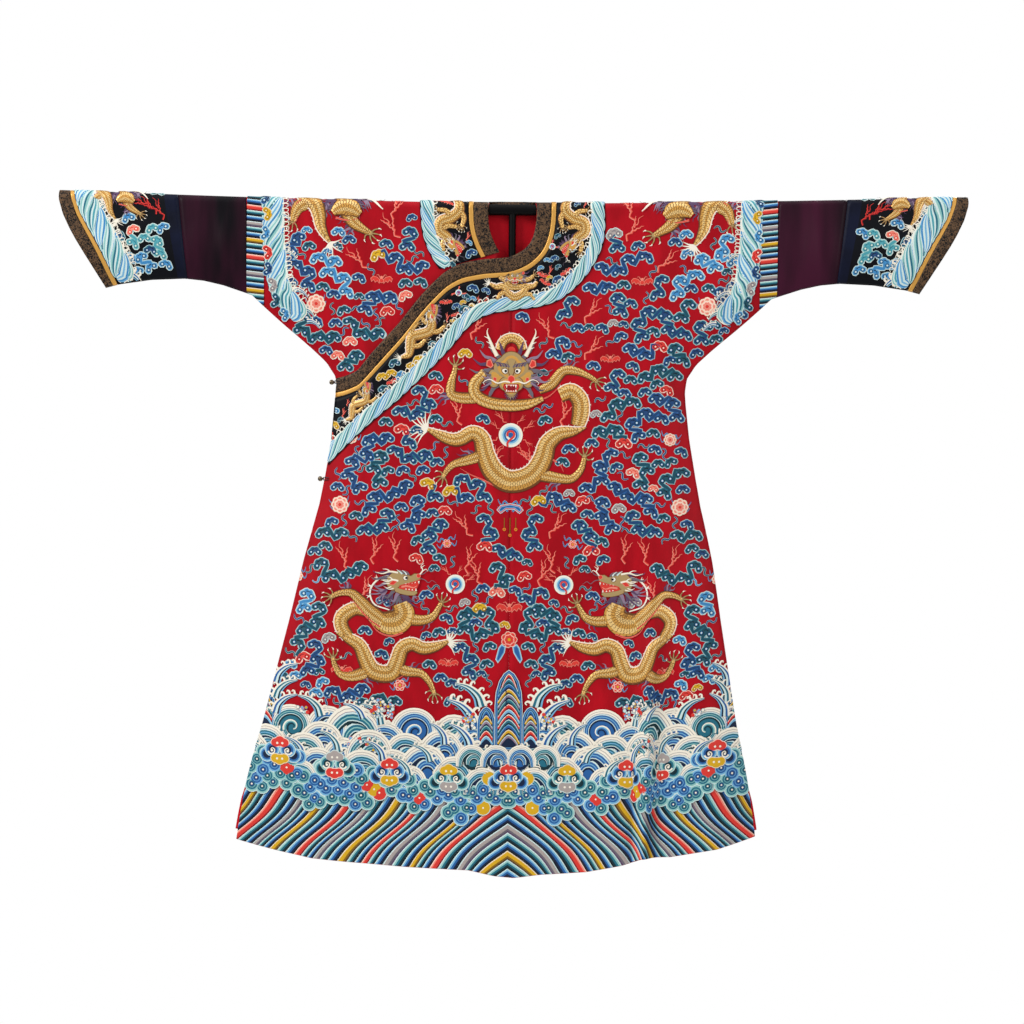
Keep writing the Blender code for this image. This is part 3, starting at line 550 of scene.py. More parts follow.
class Needlework:
    """Flat stitching: points (across, up, height over the cloth), faces and their threads."""

    def __init__(self):
        self.chunks = []
        self.taken = []          # circles that later filling keeps clear of: x, y, radius

    def take(self, bm):
        """Adds a bmesh, whose material indexes are places in THREAD_NAMES."""
        bm.verts.index_update()
        points = np.array([vert.co[:] for vert in bm.verts])
        faces = [[vert.index for vert in face.verts] for face in bm.faces]
        self.chunks.append((points, faces, [face.material_index for face in bm.faces]))
        bm.free()

    def joined(self):
        """All chunks as one."""
        if len(self.chunks) > 1:
            points, faces, threads, base = [], [], [], 0
            for chunk in self.chunks:
                points.append(chunk[0])
                faces += [[base + k for k in face] for face in chunk[1]]
                threads += chunk[2]
                base += len(chunk[0])
            self.chunks = [(np.concatenate(points), faces, threads)]
        return self.chunks[0]

    def stamp(self, motif, x=0.0, y=0.0, turn=0.0, size=1.0, flip=False, rise=0.0, swap=None):
        """Adds a copy of a motif, flipped left to right, then turned, sized and moved."""
        points, faces, threads = motif.joined()
        points = points * (-size if flip else size, size, 1.0)
        c, s = cos(turn), sin(turn)
        moved = np.stack((points[:, 0] * c - points[:, 1] * s + x,
                          points[:, 0] * s + points[:, 1] * c + y, points[:, 2] + rise), axis=-1)
        if flip:
            faces = [face[::-1] for face in faces]
        if swap:
            to = {THREAD_NAMES.index(a): THREAD_NAMES.index(b) for a, b in swap.items()}
            threads = [to.get(thread, thread) for thread in threads]
        self.chunks.append((moved, faces, threads))
        for tx, ty, radius in motif.taken:
            tx = (-tx if flip else tx) * size
            ty *= size
            self.taken.append((tx * c - ty * s + x, tx * s + ty * c + y, radius * size))

    def patch(self, outline, bands, rise=0.0005):
        """Fills an outline. bands are (thread, width, step up) from its edge inwards; the
        last band has no width and fills the rest."""
        bm = bmesh.new()
        face = bm.faces.new([bm.verts.new((x, y, rise)) for x, y in outline])
        face.normal_update()
        if face.normal.z < 0:
            face.normal_flip()
        for thread, width, step in bands[:-1]:
            ring = bmesh.ops.inset_region(bm, faces=[face], thickness=width, depth=step,
                                          use_boundary=True, use_even_offset=True)
            for made in ring["faces"]:
                made.material_index = THREAD_NAMES.index(thread)
        face.material_index = THREAD_NAMES.index(bands[-1][0])
        bmesh.ops.triangulate(bm, faces=[face])
        for _ in range(3):
            long = [edge for edge in bm.edges if edge.calc_length() > LONGEST_STITCH]
            if not long:
                break
            bmesh.ops.subdivide_edges(bm, edges=long, cuts=1)
            bmesh.ops.triangulate(bm, faces=bm.faces)
        self.take(bm)

    def disc(self, x, y, radius, bands, rise=0.0005, sides=8):
        outline = [(x + radius * cos(tau * k / sides), y + radius * sin(tau * k / sides))
                   for k in range(sides)]
        self.patch(outline, bands, rise)

    def between(self, right, left, lanes, threads, rise=0.0, heights=1.0):
        """A strip between two edges. lanes are (across from -1 at the right to 1 at the left,
        height); threads fill between lanes."""
        bm = bmesh.new()
        count = len(right)
        bmesh.ops.create_grid(bm, x_segments=count - 1, y_segments=len(lanes) - 1, size=1.0)
        for face in bm.faces:
            lane = int((min(v.co.y for v in face.verts) + 1) / 2 * (len(lanes) - 1) + 0.5)
            face.material_index = THREAD_NAMES.index(threads[lane])
        heights = np.broadcast_to(heights, count)
        for vert in bm.verts:
            at = round((vert.co.x + 1) / 2 * (count - 1))
            across, height = lanes[round((vert.co.y + 1) / 2 * (len(lanes) - 1))]
            flat = right[at] + (left[at] - right[at]) * (across + 1) / 2
            vert.co = (flat[0], flat[1], rise + height * heights[at])
        self.take(bm)

    def ribbon(self, route, half, lanes, threads, rise=0.0):
        """A strip along a route. half is its half width, one or one for each point."""
        route = np.asarray(route, dtype=float)
        half = np.broadcast_to(np.asarray(half, dtype=float), len(route))
        out = left_of(route) * half[:, None]
        self.between(route - out, route + out, lanes, threads, rise,
                     np.minimum(half / max(half.max(), 1e-9) * 2, 1.0))

    def cord(self, points, width, thread, rise=0.0006, count=10, taper=None, edge=None):
        """A line of thread, plain or with an edge, that thins towards its end if it tapers."""
        route = bend(points, count)
        half = np.full(count, width / 2)
        if taper is not None:
            half = width / 2 * (1 - (1 - taper) * np.linspace(0, 1, count) ** 1.5)
        if edge:
            self.ribbon(route, half, ((-1, 0), (-0.5, 0.0004), (0.5, 0.0004), (1, 0)),
                        (edge, thread, edge), rise)
        else:
            self.ribbon(route, half, ((-1, 0), (0, 0.0004), (1, 0)), (thread, thread), rise)

    def pair(self, motif):
        """Adds a motif and its mirror image."""
        self.stamp(motif)
        self.stamp(motif, flip=True)


HEM_EDGE = 0.0008           # stitching stops this far over the hem
SIDE_EDGE = 0.0012          # and this far inside the side seams


def side_limit(x, s):
    """Holds places inside the side seams, the sleeve seams' ends and the hems."""
    run = np.abs(s)
    hem = np.where(s > 0, read(FRONT_HEM, x), read(BACK_HEM, x)) - HEM_EDGE
    run = np.minimum(run, hem)
    wide = np.where(run < SLEEVE_SEAM_DEPTH, 2.0, read(SIDE, run) - SIDE_EDGE)
    return np.clip(x, -wide, wide), np.copysign(run, s)


def hang(art, name, slot, face=1, layer=SHOWN, lift=0.0004, wall=WALL, keep=None):
    """Lays needlework on the hung robe: face 1 on its front, -1 on its back, drawn as seen
    from there. Faces with no corner inside keep(x, s) are left out."""
    points, faces, threads = art.joined()
    x = points[:, 0] * face
    s = -points[:, 1] * face
    limit = side_limit(x, s)
    inside = (np.abs(limit[0] - x) + np.abs(limit[1] - s)) < 1e-6
    if keep is not None:
        inside &= keep(x, s)
    chosen = [k for k, corners in enumerate(faces) if inside[corners].any()]
    faces = [faces[k] for k in chosen]
    threads = [threads[k] for k in chosen]
    used = np.unique(np.concatenate([np.array(corners) for corners in faces]))
    new_place = np.full(len(points), -1)
    new_place[used] = np.arange(len(used))
    faces = [[int(new_place[k]) for k in corners] for corners in faces]
    lifts = wall / 2 + lift + points[used, 2] * RELIEF
    places = lay(limit[0][used], limit[1][used], layer, lifts)
    used = sorted(set(threads))
    mesh = bpy.data.meshes.new(name)
    mesh.from_pydata(places.tolist(), [], faces)
    mesh.polygons.foreach_set("material_index", [used.index(thread) for thread in threads])
    mesh.update()
    return put(name, mesh, [thread_material(THREAD_NAMES[k]) for k in used])


# ---------------------------------------------------------------- cloth pieces
SHELL_INSET = 0.0001        # the shells lie this far inside the solids' outer faces
SHELL_WALL = 0.0016
ROW_STEP = 0.008
FOLD_ROWS = 8               # grid steps over each quarter of the bar
PANEL_COLUMNS = 58
LAP_ROWS = 130
CROWDING = 0.06             # how much closer a panel's columns are near its side
SEAM_EASE = 0.00002         # the halves all but meet on the centre seam


def hem_rows(x, s):
    """Bends rows towards the hem's own curve as they near the hem."""
    run = np.abs(s)
    hem = np.where(s > 0, read(FRONT_HEM, x), read(BACK_HEM, x))
    share = np.maximum(run - HEM_BLEND_FROM, 0.0) / (LAST_ROW - HEM_BLEND_FROM)
    return np.sign(s) * (run + (hem - LAST_ROW) * share)


def side_at(s):
    """Half width of the body at a row, out to the sleeve seam or the side seam."""
    run = np.abs(s)
    sleeve = SLEEVE_SEAM_TOP + (SLEEVE_SEAM_BOTTOM - SLEEVE_SEAM_TOP) * run / SLEEVE_SEAM_DEPTH
    flare = np.where(s < 0, BACK_FLARE * smooth((run - BACK_FLARE_FROM) / 0.15), 0.0)
    return np.where(run < SLEEVE_SEAM_DEPTH, sleeve, read(SIDE, run) + flare)


def column_shares():
    """Shares of a panel's width at which its columns stand."""
    share = np.linspace(0, 1, PANEL_COLUMNS)
    return share + CROWDING * np.sin(pi * share)


def body_panel(name, side, materials):
    """A body half's shell, from the back hem over the bar to the front hem."""
    down = np.arange(QUARTER, LAST_ROW, ROW_STEP)
    down = np.append(down, LAST_ROW)
    wrap = np.linspace(0, QUARTER, FOLD_ROWS + 1)[:-1]
    s = np.concatenate((-down[::-1], -wrap[:0:-1], wrap, down))
    neck = np.maximum(read(NECK, s), SEAM_EASE)
    neck = np.where(s < -QUARTER, SEAM_EASE, neck)
    if side < 0:
        neck = np.where(s > 0.100, np.maximum(neck, UNDERLAP_EDGE), neck)
    outer = side_at(hem_rows(side * side_at(s), s))
    share = column_shares()
    x = side * (neck[:, None] + (outer - neck)[:, None] * share[None, :])
    s = hem_rows(x, np.broadcast_to(s[:, None], x.shape))
    if side < 0:
        x, s = x[:, ::-1], s[:, ::-1]
    places = lay(x, s, PANEL, np.full(x.shape, HALF_WALL - SHELL_INSET))
    piece = put(name + "_silk", grid_mesh(name + "_silk", places), materials,
                [name])
    thicken(piece, SHELL_WALL, 1)


def lap_panel(materials):
    """The lap's shell, from the centre seam to the wearer's right side."""
    top_s, foot_s = LAP_TOP.value[0], FRONT_HEM.value[0]
    share = column_shares()[::-1]
    drop = np.linspace(0, 1, LAP_ROWS)[:, None]
    level = top_s + (foot_s - top_s) * drop
    top = read(LAP_TOP, LAP_TOP.at[0] * share)[None, :]
    hem = read(FRONT_HEM, FRONT_HEM.at[0] * share)[None, :]
    x = -SEAM_EASE - (read(SIDE, level) - SEAM_EASE) * share[None, :]
    s = top + (hem - top) * drop
    places = lay(x, s, LAP, np.full(x.shape, HALF_WALL - SHELL_INSET))
    piece = put("outer_lap_silk", grid_mesh("outer_lap_silk", places), materials,
                ["outer_lap"])
    thicken(piece, SHELL_WALL, 1)


def band_lines(steps=6):
    """Inner edge, binding's end and outer edge of the collar band, and where its lap starts."""
    right = [row._replace(in_x=-row.in_x, out_x=-row.out_x, line_x=-row.line_x)
             for row in BAND_SHOULDER]
    keys = list(BAND_UNDER) + right + [BAND_BACK] + list(BAND_SHOULDER[::-1])
    lap_from = len(keys)
    keys += BAND_LAP
    edges = []
    for row in keys:
        inner = np.array((row.in_x, row.in_s))
        outer = np.array((row.out_x, row.out_s))
        line = inner + (outer - inner) / np.linalg.norm(outer - inner) * LINE_WIDTH
        if row.line_x is not None:
            line = np.array((row.line_x, row.line_s))
        edges.append((inner, line, outer))
    edges = np.array(edges)
    stations = []
    for k in range(len(edges) - 1):
        a, b = edges[max(k - 1, 0)], edges[k]
        c, d = edges[k + 1], edges[min(k + 2, len(edges) - 1)]
        long = np.linalg.norm(c - b, axis=-1).max()
        for t in np.linspace(0, 1, max(int(steps * long / 0.03), 4), endpoint=False):
            eased = passing(a, b, c, d, t)
            straight = b + (c - b) * t
            near_neck = k in range(3, 13)
            stations.append((k >= lap_from, straight if near_neck else eased))
    stations.append((True, edges[-1]))
    return stations


def band_strip(name, facing, low, high, columns, thickness, materials, rib=0.0, steps=6):
    """A strip of the collar band. low and high are its distances from its side's edges; a low
    under 0 is measured back from the far edge. rib raises every other row."""
    x, s, layers = [], [], []
    for in_lap, (inner, line, outer) in band_lines(steps):
        start, end = (line, outer) if facing else (inner, line)
        length = np.linalg.norm(end - start)
        near = (low if low >= 0 else length + low) / length
        share = np.linspace(near, 1 - high / length, columns + 1)[:, None]
        flat = start + (end - start) * share
        x.append(flat[:, 0])
        s.append(flat[:, 1])
        layers.append(in_lap)
    x, s, layers = np.array(x), np.array(s), np.array(layers)
    lift = np.full(x.shape, HALF_WALL + LAYER_GAP + thickness)
    lift[::2] += rib
    lift[:, 1:-1] += rib
    places = np.where(layers[:, None, None], lay(x, s, LAP, lift), lay(x, s, COLLAR, lift))
    piece = put(name + "_silk", grid_mesh(name + "_silk", places), materials, [name])
    thicken(piece, thickness - 0.0001)
    return piece, x, s


RING_SHARES = np.concatenate((np.linspace(0.04, 0.88, 22), (0.92, 0.96, 0.985, 1.0)))
RING_FOOT = 0.0030


def ring(name, side, inner, outer, columns, wall, materials, slot, colour_at=None, rib=0.0,
         lining=0):
    """A tube of the sleeve between two edges, each a function of the share of its depth."""
    rows = []
    for index in range(FOLD_ROWS + len(RING_SHARES) + 2):
        x = np.full(columns + 1, SLEEVE_SEAM_TOP)
        along = np.linspace(0, 1, columns + 1)
        for _ in range(4):
            depth = read(SLEEVE_UNDER, x)
            below = index - FOLD_ROWS - 1
            if below < 0:
                run = np.full(x.shape, QUARTER * index / FOLD_ROWS)
            elif below < len(RING_SHARES):
                run = QUARTER + (depth - RING_FOOT - QUARTER) * RING_SHARES[below]
            else:
                run = depth
            share = run / depth
            x = inner(share) * (1 - along) + outer(share) * along
        rows.append((x, run))
    last = len(rows) - 1
    order = [(index, 1) for index in range(last)] + [(last, 0)]
    order += [(index, -1) for index in range(last - 1, 0, -1)]
    x = np.array([side * rows[index][0] for index, _ in order])
    s = np.array([rows[index][1] * (face or 1) for index, face in order])
    lift = np.full(x.shape, wall / 2 - SHELL_INSET)
    lift[:, ::2] += rib
    places = lay(x, s, PANEL, lift)
    places[last] = cloth_points(x[last], s[last], PANEL)
    places[last, :, 1] = 0.0
    places[last, :, 2] -= lift[last]
    if side < 0:
        x, s, places = x[:, ::-1], s[:, ::-1], places[:, ::-1]
    mesh = grid_mesh(name + "_silk", places, wrapped=True)
    if colour_at is not None:
        for face in mesh.polygons:
            face.material_index = colour_at(abs(face.center.x), -face.center.z)
    piece = put(name + "_silk", mesh, materials, [name])
    thicken(piece, wall - 2 * SHELL_INSET, lining)
    return piece, x[:last + 1], s[:last + 1]


def sleeve_seam(share):
    return SLEEVE_SEAM_TOP + (SLEEVE_SEAM_BOTTOM - SLEEVE_SEAM_TOP) * share


def cuff_seam(share):
    return CUFF_SEAM_TOP + (CUFF_SEAM_BOTTOM - CUFF_SEAM_TOP) * share


def braid_edge(share):
    return read(CUFF_BRAID_EDGE, share)


def cuff_mouth(share):
    return read(CUFF_MOUTH, share)


def shifted(edge, by):
    """The same edge, moved out along the sleeve."""
    return lambda share: edge(share) + by


# ---------------------------------------------------------------- motifs
MM = 0.001
CLOUD_KINDS = {
    "blue": ("frost", "blue", "denim", "ink"), "teal": ("frost", "teal", "pine", "ink"),
    "mixed": ("frost", "teal", "denim", "ink"), "bright": ("ice", "sky", "azure", "navy"),
    "sea": ("ice", "mint", "lagoon", "teal"),
    "yellow": ("cream", "yellow", "yellow", "ochre"),
    "coral": ("rose", "coral", "coral", "crimson"),
    "grey": ("ice", "stone", "stone", "slate"), "pink": ("white", "pink", "pink", "coral"),
}


def mm(*pairs, unit=MM):
    """Places given in millimetres, or in another unit."""
    return [(x * unit, y * unit) for x, y in pairs]


def cloud_head(kind):
    """A ruyi cloud head: two curled lobes under a cap, in three layers that run into those
    of its neighbours, with a pale knot in each curl."""
    rim, light, body, deep = CLOUD_KINDS[kind]
    glow = "azure" if rim == "frost" else light
    art = Needlework()
    for thread, inset, height in ((rim, 0, 0.3), (light, 1.3, 0.7), (body, 2.7, 1.1)):
        outline = lobes([(x * MM, y * MM, (r - inset) * MM) for x, y, r in
                         ((-8.6, -1.8, 7.7), (-3.6, 4.4, 6.8), (3.6, 4.4, 6.8),
                          (8.6, -1.8, 7.7))], 16)
        art.patch(outline, ((thread,),), height * MM)
    for side in (-1, 1):
        art.disc(side * 7.4 * MM, -1.0 * MM, 4.2 * MM,
                 ((deep, 1.3 * MM, 0.2 * MM), (glow, 1.3 * MM, 0.2 * MM), ("white",)),
                 1.4 * MM, 8)
    art.cord(mm((-4, 4.2), (0, 6.0), (4, 4.2)), 1.8 * MM, deep, 1.4 * MM, 4, 0.3)
    art.taken.append((0, 1 * MM, 12 * MM))
    return art


def pearl_lobe(kind):
    """One round scale of massed clouds, with a pale rim and a pearl knot."""
    _, light, body, _ = CLOUD_KINDS[kind]
    pale = {"blue": "sky", "teal": "mint"}.get(light, light)
    art = Needlework()
    art.disc(0, 0, 12.0 * MM, (("ice", 1.2 * MM, 0.5 * MM), (pale, 2.4 * MM, 0.3 * MM),
                               (light, 2.6 * MM, 0.1 * MM), (pale, 0.7 * MM, 0.2 * MM),
                               (light, 1.4 * MM, 0.2 * MM), (body, 2.0 * MM, 0.2 * MM),
                               ("white",)), 0.3 * MM, 14)
    return art


def cloud_stem(art, a, b, kind, sway=0.3):
    """An S-shaped stem between two cloud heads."""
    rim, light, body, _ = CLOUD_KINDS[kind]
    a, b = np.array(a), np.array(b)
    side = np.array((a[1] - b[1], b[0] - a[0])) * sway
    route = bend((a, a * 0.7 + b * 0.3 + side, a * 0.3 + b * 0.7 - side, b), 8)
    for thread, half, height in ((rim, 5.2, 0.3), (light, 3.9, 0.7), (body, 2.6, 1.1)):
        art.ribbon(route, half * MM, ((-1, 0), (1, 0)), (thread,), height * MM)


def curl(kind):
    """A loose end of cloud, bent twice."""
    art = Needlework()
    for thread, half, height in zip(CLOUD_KINDS[kind], (3.0, 2.0, 1.1), (0.3, 0.7, 1.1)):
        route = bend(mm((-16, 5), (-11, -3), (-3, -4), (3, 4), (11, 5), (16, -4)), 12)
        art.ribbon(route, np.interp(np.linspace(0, 1, 12), (0, 0.5, 1), (0.5, 1, 0.5)) * half * MM,
                   ((-1, 0), (1, 0)), (thread,), height * MM)
    art.taken.append((0, 0, 10 * MM))
    return art


def flame(size, threads=("coral", "pink")):
    """A crooked tongue of flame with two forks, pointing up."""
    art = Needlework()
    for at, lean, length in ((0.0, 0.0, 1.0), (0.3, 0.55, 0.42), (0.52, -0.5, 0.34)):
        points = []
        for k in range(7):
            along = k / 6
            sway = 0.075 * (-1) ** k * (1 - along * 0.5)
            points.append((size * length * (sway + lean * along),
                           size * (at + length * along)))
        route = bend(points, 13)
        half = max(size * 0.036, 1.3 * MM) * (1 - 0.8 * np.linspace(0, 1, 13) ** 2)
        art.ribbon(route, half, ((-1, 0), (0, 0.0005), (1, 0)), threads, 0.0003)
    art.taken.append((0, size * 0.5, size * 0.42))
    return art


def flaming_pearl(radius, spikes=(-2.6, -1.9, -1.2, -0.5, 0.4, 1.1, 1.8, 2.6)):
    """A pearl in graded rings with a coral comma curl, and flames round it."""
    art = Needlework()
    tongue = flame(radius * 1.35)
    for k, turn in enumerate(spikes):
        art.stamp(tongue, x=-sin(turn) * radius * 1.1, y=cos(turn) * radius * 1.1,
                  turn=turn + 0.3 * (-1) ** k, size=(1.0, 0.75)[k % 2])
    bands = (("white", 0.16), ("ice", 0.14), ("sky", 0.14), ("blue", 0.14))
    art.disc(0, 0, radius, tuple((t, w * radius, 0.3 * MM) for t, w in bands) + (("white",),),
             0.6 * MM, 24)
    art.disc(0, 0, radius * 0.24, (("blue",),), 2.1 * MM, 10)
    curl = [(0.30 * cos(t), 0.04 + 0.30 * sin(t)) for t in np.linspace(3.6, -1.1, 9)]
    curl += [(-0.08, -0.42), (-0.28, -0.66), (-0.24, -0.96)]
    art.cord([(x * radius, y * radius) for x, y in curl], radius * 0.17, "coral", 2.2 * MM, 18)
    art.taken.append((0, 0, radius * 1.6))
    return art


SCALE_LANES = ((-1, 0.0006), (-0.8, 0.0022), (-0.4, 0.0032), (0, 0.0035), (0.4, 0.0032),
               (0.8, 0.0022), (1, 0.0006))


def scaled_body(art, points, halves, rise=0.0, spine=True, steps=60, pitch=7.0):
    """A couched gold body along millimetre points: dark edge, domed gold, scales, and a
    barbed white back along its left. The domed gold has a lane of painted shade along its right
    edge and lanes of painted highlight over its crown. halves are its half width at even shares
    of its length.
    """
    route = bend(mm(*points), steps)
    half = np.interp(np.linspace(0, 1, steps), np.linspace(0, 1, len(halves)), halves) * MM
    side = left_of(route)
    gone = lengths_along(route)

    def at_length(length):
        k = np.interp(length, gone, np.arange(steps))
        spot, out = [np.array([np.interp(k, range(steps), table[:, c]) for c in (0, 1)])
                     for table in (route, side)]
        return spot, out, np.array((out[1], -out[0])), np.interp(k, range(steps), half)

    if spine:
        art.ribbon(route + side * (half + 1.3 * MM)[:, None], 1.3 * MM,
                   ((-1, 0.0006), (0, 0.0012), (1, 0.0006)), ("rose", "white"), rise)
        for at in np.arange(8 * MM, gone[-1] - 8 * MM, 13 * MM):
            spot, out, ahead, wide = at_length(at)
            root = spot + out * (wide + 1.8 * MM)
            art.patch([root - ahead * 1.4 * MM, root + ahead * 1.4 * MM,
                       root + out * 3.6 * MM + ahead * 2.6 * MM], (("white",),), rise + 0.0006)
    art.ribbon(route, half + 0.9 * MM, ((-1, 0.0003), (0, 0.0006), (1, 0.0003)),
               ("brown", "brown"), rise)
    # the gold lanes paint light: the dark lane on the right edge is painted shade, and the light
    # lanes near the crest are painted highlights
    art.ribbon(route, half, SCALE_LANES,
               ("gold_dark", "gold", "gold_painted_highlight", "gold", "gold_painted_highlight", "gold"), rise)
    lanes, heights = zip(*SCALE_LANES)
    across_count = max(round(half.max() * 2 / (pitch * MM)), 2)
    for row, at in enumerate(np.arange(pitch * 0.4, gone[-1] / MM - 2, pitch * 0.62)):
        spot, out, ahead, wide = at_length(at * MM)
        fit = max(round(across_count * wide / half.max()), 1)
        for c in range(fit + row % 2):
            across = (c + 0.5 * (1 - row % 2)) / fit * 2 - 1
            if abs(across) > 0.9:
                continue
            lift = rise + np.interp(across, lanes, heights) + 0.0003
            centre = spot + out * across * wide
            arc = [centre + (out * cos(t) * 0.9 + ahead * sin(t) * 0.8) * wide / fit
                   for t in (0.2, 0.85, pi / 2, 2.3, 2.94)]
            art.ribbon(np.array(arc), 0.55 * MM, ((-1, 0.0), (1, 0.0)), ("gold_dark",), lift)
    for k in range(0, steps, 2):
        art.taken.append((route[k][0], route[k][1], half[k] + 5 * MM))


def tuft(art, x, y, turn, spread, length, count, thread, width=2.4, rise=0.6, hook=0.25):
    """A fan of tapering hairs, in millimetres."""
    for k in range(count):
        share = k / max(count - 1, 1) - 0.5
        lean = turn + spread * share
        far = length * (1 - 0.5 * abs(share))
        c, s = cos(lean), sin(lean)
        curl = hook * far * (1 if share > 0 else -1)
        middle = (x + c * far * 0.5 - s * curl * 0.15, y + s * far * 0.5 + c * curl * 0.15)
        tip = (x + c * far - s * curl, y + s * far + c * curl)
        art.cord(mm((x, y), middle, tip), width * MM, thread,
                 rise * MM, 7, 0.12)


def joint_flames(art, x, y, turn, size=1.0):
    """Mauve flames that stream from a dragon's joint."""
    for k, (lean, far) in enumerate(((-0.5, 26), (-0.2, 38), (0.12, 42), (0.42, 30))):
        c, s = cos(turn + lean), sin(turn + lean)
        points = [(x + c * far * t * size - s * sway * size,
                   y + s * far * t * size + c * sway * size)
                  for t, sway in ((0, 0), (0.3, 2.5), (0.55, -2), (0.8, 2), (1, -1))]
        art.cord(mm(*points), 6.0 * MM * size, ("mauve", "lilac")[k % 2], 0.3 * MM, 10, 0.08)


def claw_foot(art, x, y, turn, size=1.0, rise=1.2):
    """A dragon's foot: a palm and five spread toes with pale talons."""
    art.disc(x * MM, y * MM, 5.5 * MM * size, (("gold_dark", 0.8 * MM, 0.3 * MM), ("hide",)),
             (rise + 0.5) * MM, 8)
    for lean in (-2.3, -1.15, -0.45, 0.3, 1.1):
        c, s = cos(turn + lean), sin(turn + lean)
        fall = turn + lean * 0.6
        knee = (x + c * 10 * size, y + s * 10 * size)
        tip = (knee[0] + cos(fall) * 8 * size, knee[1] + sin(fall) * 8 * size)
        art.cord(mm((x, y), knee, tip), 4.4 * MM * size, "hide", rise * MM, 6, 0.5, "gold_dark")
        hook = fall - (0.9 if lean > 0 else -0.9)
        art.cord(mm(tip, (tip[0] + cos(fall) * 2.5 * size, tip[1] + sin(fall) * 2.5 * size),
                    (tip[0] + (cos(fall) + cos(hook) * 2) * 2.2 * size,
                     tip[1] + (sin(fall) + sin(hook) * 2) * 2.2 * size)),
                 2.6 * MM * size, "white", (rise + 0.3) * MM, 5, 0.1)
    art.taken.append((x * MM, y * MM, 17 * MM * size))


def leg(art, points, turn, halves=(11, 10, 7, 4.5), flames=None, size=1.0, rise=0.0):
    """A scaled limb that ends in a foot turned to turn, with flames (place, turn) behind."""
    if flames:
        joint_flames(art, *points[flames[0]], flames[1], size)
    scaled_body(art, points, halves, rise, spine=False, steps=18, pitch=6.0)
    claw_foot(art, *points[-1], turn, size, (rise + 0.0010) / MM)


def shapes(art, table, scale=1.0, rise=0.0):
    """Patches from a table of (points, bands of (thread, width mm, step mm), height mm)."""
    for points, bands, height in table:
        bands = [(b[0], b[1] * scale * MM, b[2] * MM) if len(b) > 1 else b for b in bands]
        art.patch([(x * scale * MM, y * scale * MM) for x, y in points], bands,
                  height * MM + rise)


